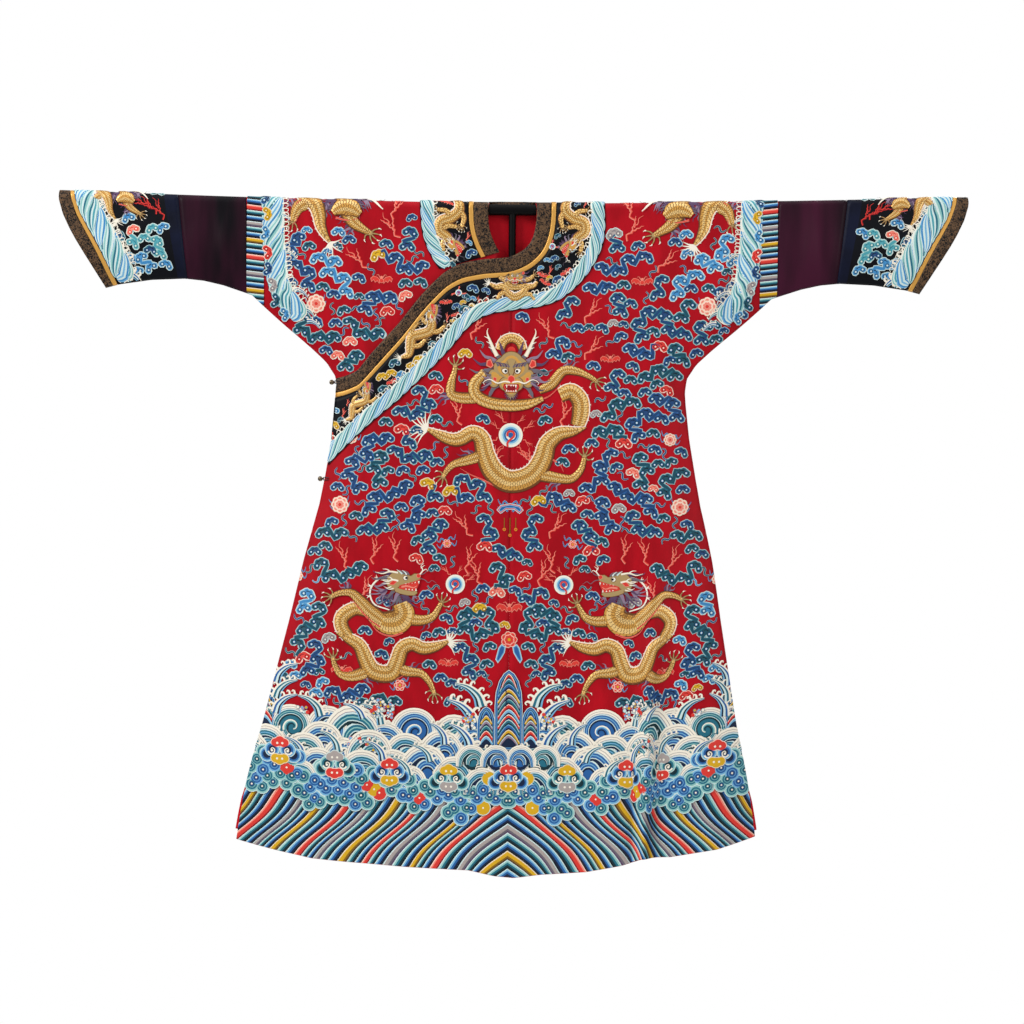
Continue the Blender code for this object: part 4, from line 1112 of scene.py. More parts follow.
def profile_head(scale=1.0):
    """A dragon's head in profile, facing +x: horns, mane, open jaws, whiskers and beard."""
    art = Needlework()
    u = MM * scale
    pts = partial(mm, unit=u)
    mane = ((-56, 22), (-60, 8), (-54, -8), (-46, -22), (-34, -34), (-20, -42))
    for k, (dx, dy) in enumerate(mane):
        x0, y0 = -16 + 2 * k, 14 - 7 * k
        art.cord(pts((x0, y0), (x0 * 0.5 + dx * 0.5, y0 * 0.5 + dy * 0.5 + 4), (dx, dy),
                     (dx - 7, dy + 5)),
                 9 * u, ("mauve", "slate", "lilac")[k % 3], 0.5 * MM, 10, 0.1)
    tuft(art, 8 * scale, -26 * scale, -1.9, 1.6, 22 * scale, 7, "mauve", 4.2 * scale)
    tuft(art, 24 * scale, -29 * scale, -1.2, 1.1, 15 * scale, 4, "lilac", 3.0 * scale, 0.8)
    for y0, far in ((21, 1.0), (3, 0.72)):
        art.cord(pts((-8, y0), (-8 - 18 * far, y0 + 3), (-8 - 34 * far, y0 - 1),
                     (-8 - 50 * far, y0 + 3)), 4.6 * u, "white", 3.4 * MM, 12, 0.2, "cream")
        art.cord(pts((-8 - 16 * far, y0 + 2), (-8 - 24 * far, y0 + 8), (-8 - 34 * far, y0 + 9)),
                 2.8 * u, "white", 3.4 * MM, 7, 0.2)
    shapes(art, (
        (((-10, -4), (10, -2), (36, 2), (38, -6), (30, -22), (8, -20), (-8, -16)),
         (("crimson", 1.2, 0.2), ("coral",)), 1.2),
        (((-16, -8), (-4, -14), (8, -17), (22, -20), (30, -18), (34, -25), (26, -31), (10, -30),
          (-6, -26), (-18, -20)),
         (("gold_dark", 1.1, 0.4), ("hide", 2.2, 0.4), ("gold",)), 1.2),
        (((-30, -14), (-36, -2), (-32, 12), (-22, 21), (-8, 26), (4, 24), (10, 17), (20, 14),
          (28, 19), (37, 18), (42, 11), (40, 4), (30, 0), (16, -3), (4, -6), (-6, -10),
          (-14, -16), (-22, -19)),
         (("gold_dark", 1.2, 0.5), ("hide", 4.0, 0.7), ("gold",)), 1.4),
        (((-24, 2), (-14, 8), (-11, 1), (-19, -6), (-29, -4)),
         (("pink", 1.0, 0.3), ("coral",)), 3.0),
    ), scale)
    art.cord(pts((-2, -10), (12, -9), (24, -13), (32, -9)), 4.5 * u, "pink", 2.0 * MM, 9, 0.3)
    for x0, size in ((8, 4.0), (15, 3.4), (22, 3.4), (29, 3.6), (37, 6.5)):
        y0 = -4 + x0 * 0.14
        art.patch(pts((x0 - 2, y0), (x0 + 2, y0 + 0.4), (x0, y0 - size)), (("white",),), 3.0 * MM)
    for x0, size in ((8, 3.0), (15, 3.2), (22, 3.4), (30, 6.5)):
        y0 = -15 - x0 * 0.16
        art.patch(pts((x0 - 2, y0), (x0, y0 + size), (x0 + 2, y0 - 0.6)), (("white",),), 3.0 * MM)
    art.cord(pts((-6, -8), (6, -5), (20, -2), (34, 2), (41, 5)), 2.0 * u, "coral", 3.0 * MM, 10)
    art.disc(37 * u, 13 * u, 5.0 * u, (("pink", 1.0 * u, 0.3 * MM), ("coral",)), 2.8 * MM, 10)
    for points, wide in ((((40, 16), (47, 25), (43, 34), (50, 40)), 3.0),
                         (((44, 22), (54, 27), (58, 22)), 2.4), (((43, 30), (52, 36)), 2.0)):
        art.cord(pts(*points), wide * u, "white", 2.6 * MM, 10, 0.2)
    for y0, way in ((15, 1), (7, -1)):
        art.cord(pts((40, y0), (50, y0 + 3 * way), (58, y0 + 10 * way), (66, y0 + 5 * way),
                     (76, y0 + 12 * way)), 1.8 * u, "slate", 2.4 * MM, 14, 0.3)
    art.disc(8 * u, 9 * u, 6.0 * u, (("gold_dark", 1.2 * u, 0.2 * MM), ("white",)), 2.9 * MM, 12)
    art.disc(10 * u, 9 * u, 2.8 * u, (("ink",),), 3.4 * MM, 8)
    for k in range(4):
        art.cord(pts((16 - 5 * k, 15 + k), (13 - 6 * k, 21 + k), (7 - 6 * k, 25 + k)), 3.4 * u,
                 ("slate", "ice")[k % 2], 3.1 * MM, 6, 0.2)
    for x0, y0, dy in ((-24, -9, -3), (-19, -13, -2), (-28, -2, 0), (-30, 5, 1)):
        art.cord(pts((x0, y0), (x0 - 9, y0 + dy), (x0 - 17, y0 + 1)), 2.4 * u, "white", 3.0 * MM,
                 6, 0.15)
    art.taken += [(0, 0, 42 * u), (-40 * u, 5 * u, 28 * u), (46 * u, 12 * u, 20 * u)]
    return art


def facing_head(scale=1.0):
    """A dragon's head seen from the front: mane, horns, brows, nose, open mouth and beard."""
    half = Needlework()
    u = MM * scale
    pts = partial(mm, unit=u)
    for k in range(8):
        lean = 1.25 - 0.30 * k
        c, s = cos(lean), sin(lean)
        far = 76 - 2.5 * abs(k - 4) - (12 if k == 7 else 0)
        half.cord(pts((24 * c, 24 * s), (44 * c + 3, 40 * s + 3), (62 * c, 56 * s - 3),
                      (far * c + 3, (far - 6) * s + 4)), 10 * u,
                  ("mauve", "slate", "lilac")[k % 3], 0.4 * MM, 10, 0.08)
    half.cord(pts((27, 32), (34, 46), (40, 60), (46, 76), (44, 84)), 7.5 * u, "white", 2.2 * MM,
              12, 0.12, "cream")
    for y0 in (44, 54, 64):
        half.cord(pts((33 + (y0 - 44) * 0.4, y0), (43 + (y0 - 44) * 0.4, y0 + 5)), 2.4 * u,
                  "white", 2.6 * MM, 4, 0.3)
    cheek = [(x + 27, y - 10) for x, y in
             lobes(((0, 0, 13), (6, 8, 10), (5, -8, 10), (-4, 2, 12)), 20)]
    table = [
        (((32, 14), (38, 28), (47, 24), (48, 13), (38, 8)),
         (("gold_dark", 1.0, 0.3), ("pink", 1.8, 0.3), ("coral",)), 1.6),
        (cheek, (("gold_dark", 1.2, 0.4), ("hide", 4, 0.6), ("gold",)), 1.4),
        (((28, -16), (34, -13), (33, -7), (27, -9)), (("pink", 0.8, 0.2), ("coral",)), 3.0),
    ]
    shapes(half, table, scale)
    for k, turn in enumerate((0.6, 0.1, -0.4, -0.9)):
        half.cord(pts((36 + 2 * cos(turn), -10 + 10 * sin(turn)),
                      (45 + 2 * cos(turn), -11 + 16 * sin(turn)),
                      (56, -12 + 26 * sin(turn) + 4)), 4 * u, ("slate", "lilac")[k % 2],
                  2.8 * MM, 7, 0.1)
    art = Needlework()
    art.pair(half)
    skull = [(x, y + 6) for x, y in
             lobes(((0, 2, 27), (-13, 4, 21), (13, 4, 21), (0, 12, 24)), 36)]
    muzzle = [(x, y - 22) for x, y in lobes(((-10, 2, 14), (10, 2, 14), (0, -9, 13)), 28)]
    shapes(art, (
        (skull, (("gold_dark", 1.4, 0.5), ("hide", 7, 1.1), ("gold", 5, 0.4), ("hide",)), 1.6),
        (muzzle, (("gold_dark", 1.2, 0.4), ("hide", 3.5, 0.8), ("gold",)), 2.6),
        (((-14, -20), (14, -20), (16, -27), (10, -36), (-10, -36), (-16, -27)),
         (("crimson", 1.2, 0.3), ("coral", 2.6, 0.2), ("crimson",)), 4.4),
    ), scale)
    for x0 in (-9, -4.5, 0, 4.5, 9):
        deep = 7 if abs(x0) == 9 else 3.6
        art.patch(pts((x0 - 2, -21.5), (x0 + 2, -21.5), (x0, -21.5 - deep)), (("white",),),
                  5.4 * MM)
        art.patch(pts((x0 - 1.9, -34.5), (x0, -34.5 + deep * 0.7), (x0 + 1.9, -34.5)),
                  (("white",),), 5.4 * MM)
    art.disc(0, -11 * u, 7.4 * u, (("pink", 1.4 * u, 0.5 * MM), ("coral",)), 4.6 * MM, 12)
    side = Needlework()
    side.cord(pts((2, -17), (14, -15.5), (26, -19), (40, -12), (52, -17), (50, -22)), 3.0 * u,
              "white", 5.0 * MM, 14, 0.3)
    eye = [(x + 12, y + 4) for x, y in lobes(((0, 0, 6), (2.6, 0.8, 4.6)), 12)]
    shapes(side, ((eye, (("gold_dark", 1.2, 0.3), ("white",)), 4.2),), scale)
    side.disc(11 * u, 4 * u, 2.6 * u, (("ink",),), 5.0 * MM, 8)
    for k in range(5):
        side.cord(pts((4 + 5 * k, 11 + 0.6 * k), (7 + 5.4 * k, 16 + k), (11 + 6 * k, 18 + k)),
                  3.6 * u, ("slate", "mauve")[k % 2], 4.2 * MM, 6, 0.15)
    side.cord(pts((3, -4), (6, 4), (5, 13), (9, 24)), 1.6 * u, "gold_dark", 4.2 * MM, 8, 0.4)
    art.pair(side)
    tuft(art, 0, -36 * scale, -pi / 2, 2.8, 18 * scale, 11, "mauve", 5.0 * scale, 2.0, 0.1)
    tuft(art, 0, -37 * scale, -pi / 2, 2.0, 13 * scale, 7, "hide", 3.4 * scale, 2.6, 0.1)
    art.taken += [(0, 6 * u, 50 * u), (0, 50 * u, 40 * u), (0, -28 * u, 36 * u),
                  (-44 * u, 30 * u, 22 * u), (44 * u, 30 * u, 22 * u)]
    return art


def edge_flames(art, points, width=3.4, rise=0.8):
    """A red and pink edge that frays along a limb."""
    art.cord(mm(*points), width * MM, "coral", rise * MM, 14, 0.2, "pink")


def coiling_dragon():
    """The large dragon that faces forwards, wound round its pearl. The origin is the pearl."""
    art = Needlework()
    art.stamp(flaming_pearl(25 * MM))
    leg(art, ((58, 92), (84, 106), (108, 133), (136, 132), (162, 121), (176, 112)), -0.5,
        (7, 11, 10, 9, 6, 4), (2, 0.75))
    leg(art, ((-74, 76), (-104, 76), (-124, 84), (-123, 108), (-117, 130), (-116, 142)), 1.5,
        (11, 11, 10, 9, 6, 4), (2, -2.6))
    leg(art, ((50, -80), (70, -84), (104, -90), (128, -90), (146, -72), (152, -52), (153, -44)),
        1.5, (12, 12, 10, 8, 6, 4), (2, -2.4))
    leg(art, ((-50, -34), (-70, -46), (-96, -55), (-118, -62), (-132, -76), (-139, -88)), -2.0,
        (12, 11, 9, 6, 4), (1, 2.9))
    tuft(art, -172, 8, 2.75, 2.3, 50, 9, "white", 4.2, 0.9, 0.22)
    scaled_body(art, ((102, 82), (124, 90), (142, 72), (144, 46), (138, 20)),
                (14, 16, 17, 17, 14), 0.0002, steps=30)
    scaled_body(art, ((-172, 9), (-128, -10), (-104, -10), (-80, 3), (-61, -8), (-52, -42),
                      (-37, -74), (-9, -95), (22, -94), (50, -78), (68, -48), (77, -18),
                      (100, 2), (132, 8), (156, 16)),
                (3, 10, 13, 14, 17, 19, 21, 22, 22, 21, 20, 18, 15, 10, 1), 0.0010, steps=84)
    edge_flames(art, ((36, 84), (52, 74), (74, 78), (92, 92), (102, 106)), rise=1.6)
    edge_flames(art, ((-34, -104), (-60, -92), (-84, -82), (-104, -70)), rise=1.6)
    edge_flames(art, ((86, -50), (102, -60), (110, -76)), rise=1.2)
    scaled_body(art, ((66, 76), (34, 65), (0, 62), (-40, 66), (-70, 80), (-75, 104),
                      (-54, 130)), (5, 10, 12, 12, 12, 12, 9), 0.0034, spine=False, steps=44)
    scaled_body(art, ((-24, 176), (-16, 194), (0, 201), (16, 194), (24, 176)), (8, 9, 9, 9, 8),
                0.0006, steps=20)
    art.disc(0, 175 * MM, 9 * MM, (("coral",),), 0.4 * MM, 10)
    art.stamp(facing_head(1.1), x=0, y=128 * MM, rise=0.0040)
    return art


def striding_dragon():
    """A dragon in profile that faces +x over its pearl. The origin is its chest."""
    art = Needlework()
    art.stamp(flaming_pearl(20 * MM, (0.5, -0.2, -1.3, -0.8)), x=124 * MM, y=68 * MM)
    leg(art, ((20, -6), (56, -8), (78, 0), (90, 18), (96, 30)), 1.3, (12, 11, 9, 6, 4),
        (2, -2.4), 0.95)
    leg(art, ((-48, -108), (-66, -120), (-92, -127), (-113, -122), (-124, -104), (-128, -90)), 1.9,
        (12, 12, 9, 6, 4), (1, -0.7), 0.95)
    leg(art, ((-2, -104), (22, -114), (54, -118), (70, -133), (78, -148), (82, -158)), -1.4,
        (12, 11, 8, 6, 4), (1, 0.35), 0.95)
    tuft(art, 108, -53, 0.35, 2.3, 40, 9, "white", 4.0, 0.9, 0.22)
    scaled_body(art, ((-96, -46), (-110, -24), (-108, -4), (-84, 12), (-60, 8)),
                (12, 13.5, 14, 13, 11), 0.0002, steps=30)
    scaled_body(art, ((-121, -38), (-94, -50), (-73, -64), (-60, -92), (-48, -113),
                      (-26, -121), (-5, -117), (6, -93), (15, -68), (35, -58), (58, -66),
                      (84, -62), (111, -50)),
                (1, 10, 13, 15, 17, 17, 17, 15, 14, 13, 12, 9, 3), 0.0010, steps=80)
    edge_flames(art, ((-46, -122), (-26, -136), (0, -132), (20, -122)), rise=1.8)
    art.cord(mm((-4, 84), (-34, 76), (-52, 52), (-44, 24), (-12, 12)), 4.0 * MM, "white",
             2.6 * MM, 18, 0.6)
    for x, y, turn in ((-36, 76, 2.4), (-50, 60, 2.8), (-52, 40, 3.4), (-40, 22, -2.4)):
        tuft(art, x, y, turn, 0.3, 11, 2, "white", 2.6, 2.2)
    for x, y, turn, thread in ((-6, 46, -2.2, "mauve"), (8, 42, -1.8, "slate"),
                               (-18, 52, -2.7, "lilac"), (20, 40, -1.2, "mauve")):
        tuft(art, x, y, turn, 1.1, 40, 5, thread, 4.4, 3.4)
    scaled_body(art, ((10, 26), (17, 6), (6, -10), (-14, -14), (-34, -8), (-52, 4)),
                (17, 23, 26, 24, 17, 11), 0.0024, spine=False, steps=40)
    edge_flames(art, ((16, -34), (-8, -42), (-34, -34), (-50, -16)), 4.0, 3.2)
    leg(art, ((-24, -10), (-52, 10), (-74, 32), (-92, 46), (-116, 44), (-132, 36)), -2.7,
        (12, 14, 12, 9, 6, 4), (3, 2.2), 0.95, 0.0036)
    edge_flames(art, ((-30, -24), (-56, -6), (-76, 16), (-88, 30)), 4.4, 4.8)
    art.stamp(profile_head(0.94), x=14 * MM, y=70 * MM, turn=0.05, rise=0.0046,
              swap={"gold": "hide"})
    return art


def shoulder_dragon():
    """A dragon that coils over a fold, its tail and chest below it and its head above, facing
    +x. The origin is on the fold, over its tail."""
    art = Needlework()
    joint_flames(art, 12, -14, -1.3, 0.9)
    leg(art, ((-24, -12), (-44, -26), (-52, -44), (-55, -56)), -1.9, (16, 14, 10, 6), (1, 2.6))
    tuft(art, 22, -98, -1.0, 2.2, 34, 8, "white", 4.2, 0.9, 0.22)
    scaled_body(art, ((22, -96), (12, -82), (3, -62), (0, -40), (-8, -18), (-28, 0), (-38, 26),
                      (-30, 54), (-4, 70), (26, 64), (46, 44)),
                (3, 9, 13, 16, 17, 18, 18, 18, 17, 16), 0.0010, steps=70)
    edge_flames(art, ((-34, -6), (-50, -26), (-46, -50), (-56, -64)), 4.0, 2.4)
    joint_flames(art, 60, -34, -2.4, 0.8)
    leg(art, ((56, -30), (70, -54), (90, -68), (106, -76)), -0.4, (16, 13, 9, 5), (1, -2.0), 1.1,
        0.0016)
    scaled_body(art, ((36, 58), (46, 30), (46, 6), (50, -12)), (15, 16, 17, 15), 0.0018, steps=24)
    scaled_body(art, ((28, -36), (40, -28), (54, -24), (70, -28), (84, -38)),
                (6, 15, 20, 17, 7), 0.0034, spine=False, steps=26)
    edge_flames(art, ((34, -46), (52, -50), (68, -50), (80, -46)), 4.0, 4.6)
    for k, (x, y, turn) in enumerate(((70, 0, -0.55), (66, -8, -0.9), (74, 6, -0.25),
                                      (36, -6, -2.6), (40, -14, -2.2), (90, -2, -0.7))):
        tuft(art, x, y, turn, 0.6, 44 - 3 * k, 5, ("mauve", "slate", "lilac")[k % 3], 5.0, 2.4)
    art.stamp(profile_head(0.86), x=80 * MM, y=30 * MM, turn=-0.45, rise=0.0040,
              swap={"gold": "hide"})
    art.cord(mm((84, 6), (102, -2), (118, -14), (132, -26)), 6.5 * MM, "white", 6.0 * MM, 12, 0.3)
    art.cord(mm((110, -8), (120, -4), (128, -8)), 4.0 * MM, "white", 6.2 * MM, 8, 0.2)
    art.taken += [(0.078, -0.02, 0.04), (0.105, -0.005, 0.03)]
    return art


def small_dragon(bends):
    """A dragon for the edging silk that faces +x, along millimetre bends from its tail."""
    art = Needlework()
    count = len(bends)
    route = np.array(bends, dtype=float)
    for at, way, reach in ((0.30, -1, 26), (0.42, 1, 24), (0.74, -1, 26), (0.82, 1, 22)):
        spot = route[int(at * count)]
        ahead = route[min(int(at * count) + 1, count - 1)] - spot
        ahead = ahead / np.hypot(*ahead)
        out = np.array((-ahead[1], ahead[0])) * way
        knee = spot + out * reach * 0.75 + ahead * reach * 0.2
        foot = spot + out * reach * 1.2 + ahead * reach * 0.9
        leg(art, [tuple(p) for p in (spot, knee, foot)], atan2(ahead[1], ahead[0]) + way * 0.4,
            (7, 6, 4), None, 0.6)
    away = route[0] - route[1]
    tuft(art, *route[0], atan2(away[1], away[0]), 1.8, 20, 7, "white", 2.4, 0.6)
    scaled_body(art, [tuple(p) for p in route], (3, 8, 11, 12, 12.5, 12, 11, 9), 0.0004, steps=44,
                pitch=6.0)
    ahead = route[-1] - route[-2]
    turn = atan2(ahead[1], ahead[0])
    spot = (route[-1] + ahead / np.hypot(*ahead) * 10) * MM
    art.stamp(profile_head(0.56), spot[0], spot[1], turn, rise=0.0016)
    return art


def facing_dragon():
    """A small dragon seen from the front, with its body looped below its head."""
    art = Needlework()
    for points, turn in ((((-16, -12), (-34, -22), (-42, -34)), -1.9),
                         (((22, -22), (38, -24), (48, -36)), -1.0),
                         (((-12, 10), (-32, 16), (-40, 30)), 1.9),
                         (((14, 12), (34, 14), (46, 24)), 0.6)):
        leg(art, points, turn, (6, 6, 3.5), None, 0.6)
    tuft(art, -60, 2, 2.7, 1.9, 18, 7, "white", 2.4, 0.6)
    scaled_body(art, ((-60, 2), (-44, -6), (-28, -4), (-18, -20), (0, -30), (18, -22), (30, -6),
                      (46, -2), (54, 8)),
                (3, 6, 8, 9, 10, 9, 8, 6, 3), 0.0004, steps=44, pitch=6.0)
    scaled_body(art, ((30, 2), (12, -4), (-14, -2), (-20, 12), (-10, 22)), (3, 7, 8, 8, 7), 0.0012,
                spine=False, steps=24, pitch=6.0)
    art.stamp(facing_head(0.5), y=20 * MM, rise=0.0022)
    return art


def bat(kind="coral"):
    """A small red bat with spread, curled wings."""
    art = Needlework()
    rim = {"coral": "pink", "crimson": "coral"}[kind]
    for flip in (False, True):
        wing = Needlework()
        shapes(wing, ((((2, 2), (8, 8), (16, 10), (21, 5), (19, -2), (15, 2), (12, -3), (8, 0),
                        (4, -5)), ((rim, 0.9, 0.3), (kind,)), 0.3),))
        wing.cord(mm((3, 7), (6, 12), (10, 11)), 1.6 * MM, rim, 0.5 * MM, 6, 0.3)
        art.stamp(wing, flip=flip)
    art.disc(0, 1 * MM, 4.6 * MM, ((rim, 0.9 * MM, 0.4 * MM), (kind,)), 0.8 * MM, 10)
    art.disc(0, 7 * MM, 3.0 * MM, ((rim,),), 0.9 * MM, 8)
    art.taken.append((0, 2 * MM, 19 * MM))
    return art


def blossom(petals=6, threads=("rose", "pink", "coral"), size=11.0, core="yellow"):
    """A round flower of lobed petals."""
    art = Needlework()
    for ring, (share, far) in enumerate(((0.42, 0.62), (0.34, 0.34))):
        for k in range(petals):
            turn = tau * (k + 0.5 * ring) / petals
            art.disc(cos(turn) * size * far * MM, sin(turn) * size * far * MM,
                     size * share * MM, ((threads[0], 0.9 * MM, 0.3 * MM),
                                         (threads[1], 1.2 * MM, 0.2 * MM), (threads[2],)),
                     (0.4 + 0.7 * ring) * MM, 9)
    art.disc(0, 0, size * 0.2 * MM, ((core,),), 2.2 * MM, 8)
    art.taken.append((0, 0, (size + 3) * MM))
    return art


def ribbons(size=20.0, threads=("sky", "blue")):
    """A knot of curling ribbons behind a symbol."""
    art = Needlework()
    for way in (-1, 1):
        for dy in (0.35, -0.3):
            points = [(way * size * a, size * (dy + b)) for a, b in
                      ((0.2, 0), (0.5, 0.25), (0.72, -0.1), (0.95, 0.15), (1.05, 0.42))]
            art.cord(mm(*points), 3.2 * MM, threads[1], 0.2 * MM, 12, 0.3, threads[0])
    art.taken.append((0, 0, size * 1.1 * MM))
    return art


WAVE_TINTS = {"teal": ("teal", "mint", "spruce"), "blue": ("blue", "sky", "navy"),
              "pale": ("teal", "sky", "navy")}
RIB_WIDTHS = (3.0, 1.2, 2.8, 1.4, 2.6, 2.2, 0.8, 3.0, 0.9, 3.6)


def striped(tint, lanes=slice(0, 10)):
    """Heights and threads of some of a wave's ten ribs, deep inside and white outside."""
    body, pale, deep = WAVE_TINTS[tint]
    threads = (deep, "ice", body, pale, body, "ice", "lilac", "white", "stone", "white")[lanes]
    edges = np.concatenate(([0], np.cumsum(RIB_WIDTHS[lanes])))
    edges = edges / edges[-1] * 2 - 1
    return [(e, (0.5 + 0.5 * (k % 2) + 0.7 * (1 - e * e)) * MM)
            for k, e in enumerate(edges)], threads


def wave_arch(radius, tint):
    """A wave that sweeps up and over to the right, with foam at its tip and water under it."""
    art = Needlework()
    body, _, deep = WAVE_TINTS[tint]
    art.disc(0, -0.12 * radius * MM, radius * 0.56 * MM, ((deep, radius * 0.2 * MM, 0.1 * MM),
                                                          (body,)), 0.1 * MM, 12)
    sweep = np.array(((-0.84, -0.46), (-0.74, 0.16), (-0.26, 0.62), (0.36, 0.54), (0.70, 0.06),
                      (0.66, -0.44)))
    swell = 0.42 + 0.58 * np.sin(np.linspace(0.35, 2.9, 15))
    for size, shift, half, lanes in ((0.46, 0.12, 0.19, slice(0, 6)), (1, 0, 0.31, slice(0, 10))):
        route = bend((sweep * size + (shift, -shift)) * radius * MM, 15)
        art.ribbon(route, radius * half * swell * MM, *striped(tint, lanes),
                   0.6 * MM if size == 1 else 0.2 * MM)
    for k in range(3):
        x, y = 0.62 - 0.06 * k, -0.02 - 0.20 * k
        drip = np.array(((x, y), (x - 0.20, y - 0.03), (x - 0.30, y - 0.16), (x - 0.20, y - 0.24)))
        art.cord(drip * radius * MM, radius * 0.085 * MM, "white", 1.2 * MM, 6, 0.3)
    return art


def wave_roll(radius, tint):
    """A rolling wave that curls into a spiral, opening to the right."""
    art = Needlework()
    body, pale, deep = WAVE_TINTS[tint]
    art.disc(0, 0, radius * 0.72 * MM, (("white", 3 * MM, 0.2 * MM), (body,)), 0.1 * MM, 20)
    lanes, threads = striped(tint)
    share = np.linspace(0, 1, 40)
    turns = 3.9 - 6.6 * share
    far = radius * (0.80 - 0.42 * share ** 1.1) * MM
    route = np.stack((far * np.cos(turns), far * np.sin(turns)), axis=-1)
    art.ribbon(route, radius * (0.25 - 0.08 * share) * MM, lanes, threads, 0.4 * MM)
    share = np.linspace(0, 1, 20)
    turns = -2.7 - 4.6 * share
    far = radius * (0.30 - 0.24 * share) * MM
    route = np.stack((far * np.cos(turns), far * np.sin(turns)), axis=-1)
    art.ribbon(route, radius * 0.12 * (1 - 0.6 * share) * MM,
               ((-1, 0.0008), (-0.5, 0.0012), (0, 0.0014), (0.5, 0.0012), (1, 0.0008)),
               (deep, body, pale, "white"), 0.9 * MM)
    return art


def foam_plume(size, tint="blue", teeth=6):
    """A leaping crest: ribbed blue water with a comb of white foam hooks on its right."""
    art = Needlework()
    spine = bend(mm((0, 0), (-size * 0.10, size * 0.4), (-size * 0.42, size * 0.74),
                    (-size * 0.86, size * 0.92)), 14)
    half = size * 0.22 * (1 - 0.85 * np.linspace(0, 1, 14) ** 1.3) * MM
    deep = "spruce" if tint == "teal" else "navy"
    art.ribbon(spine, half, ((-1, 0.0004), (-0.55, 0.0009), (-0.1, 0.0012), (0.35, 0.0009),
                             (0.7, 0.0007), (1, 0.0003)),
               ("white", tint, "ice", deep, "sky"), 0.2 * MM)
    side = left_of(spine)
    for k in range(teeth):
        at = 1 + round(k * 11 / max(teeth - 1, 1))
        root = (spine[at] - side[at] * half[at] * 0.8) / MM
        out, ahead = -side[at], np.array((side[at][1], -side[at][0]))
        reach = size * (0.20 - 0.05 * k / teeth)
        art.cord(mm(root, root + out * reach * 0.8 + ahead * reach * 0.1,
                    root + out * reach * 1.15 - ahead * reach * 0.35,
                    root + out * reach * 0.75 - ahead * reach * 0.55),
                 size * 0.095 * MM, "white", 0.9 * MM, 8, 0.35)
    return art


def jewel_heap(seed, wide, high):
    """Pearls and coins tumbling between waves."""
    art = Needlework()
    rng = np.random.default_rng(seed)
    for k in range(int(wide * high / 34)):
        art.disc(rng.uniform(-wide / 2, wide / 2) * MM, rng.uniform(-high / 2, high / 2) * MM,
                 rng.uniform(3.0, 4.6) * MM,
                 ((("blue", "coral", "teal")[k % 3], 0.8 * MM, 0.3 * MM),
                  (("white", "sky", "white", "yellow", "coral", "ice")[k % 6],)),
                 (0.5 + 0.03 * k) * MM, 8)
    return art


def ruyi_crown(cap, foot, tint):
    """A five-lobed cloud head: two great scrolls between a coloured cap and foot."""
    art = Needlework()
    body, deep, pale = {"blue": ("blue", "navy", "sky"), "teal": ("teal", "spruce", "mint")}[tint]
    half = Needlework()
    half.disc(22 * MM, -7 * MM, 13 * MM, (("ice", 1.3 * MM, 0.3 * MM), (pale, 2.2 * MM, 0.3 * MM),
                                          (body, 2.6 * MM, 0.2 * MM), (deep,)), 0.3 * MM, 16)
    half.disc(13 * MM, 2 * MM, 13 * MM, (("ice", 1.2 * MM, 0.3 * MM), (pale, 2.6 * MM, 0.4 * MM),
                                         (body, 3.2 * MM, 0.3 * MM), (deep,)), 1.0 * MM, 18)
    half.cord(mm((20, -2), (16, -6), (10, -4), (9, 2), (14, 4), (15, 0)), 2.6 * MM, "white",
              2.3 * MM, 12, 0.5)
    half.disc(13.4 * MM, -0.4 * MM, 2.2 * MM, (("white",),), 2.7 * MM, 7)
    art.pair(half)
    for kind, y, size, rise in ((foot, -13, 0.95, 2.0), (cap, 13, 0.95, 1.6)):
        rim, light, main, _ = CLOUD_KINDS[kind]
        outline = [(a * size, b * size) for a, b in
                   lobes(((-8, 0, 9), (8, 0, 9), (0, -2 if y < 0 else 3, 10)), 22)]
        shapes(art, (([(a, b + y) for a, b in outline],
                      ((rim, 1.2, 0.3), (main, 2.4, 0.3), (light, 1.2, 0.1), (main,)), rise),))
        for way in (-1, 1):
            art.disc(way * 4.4 * MM, (y - 0.5) * MM, 2.0 * MM, (("white",),),
                     (rise + 0.9) * MM, 7)
    art.taken.append((0, 0, 36 * MM))
    return art


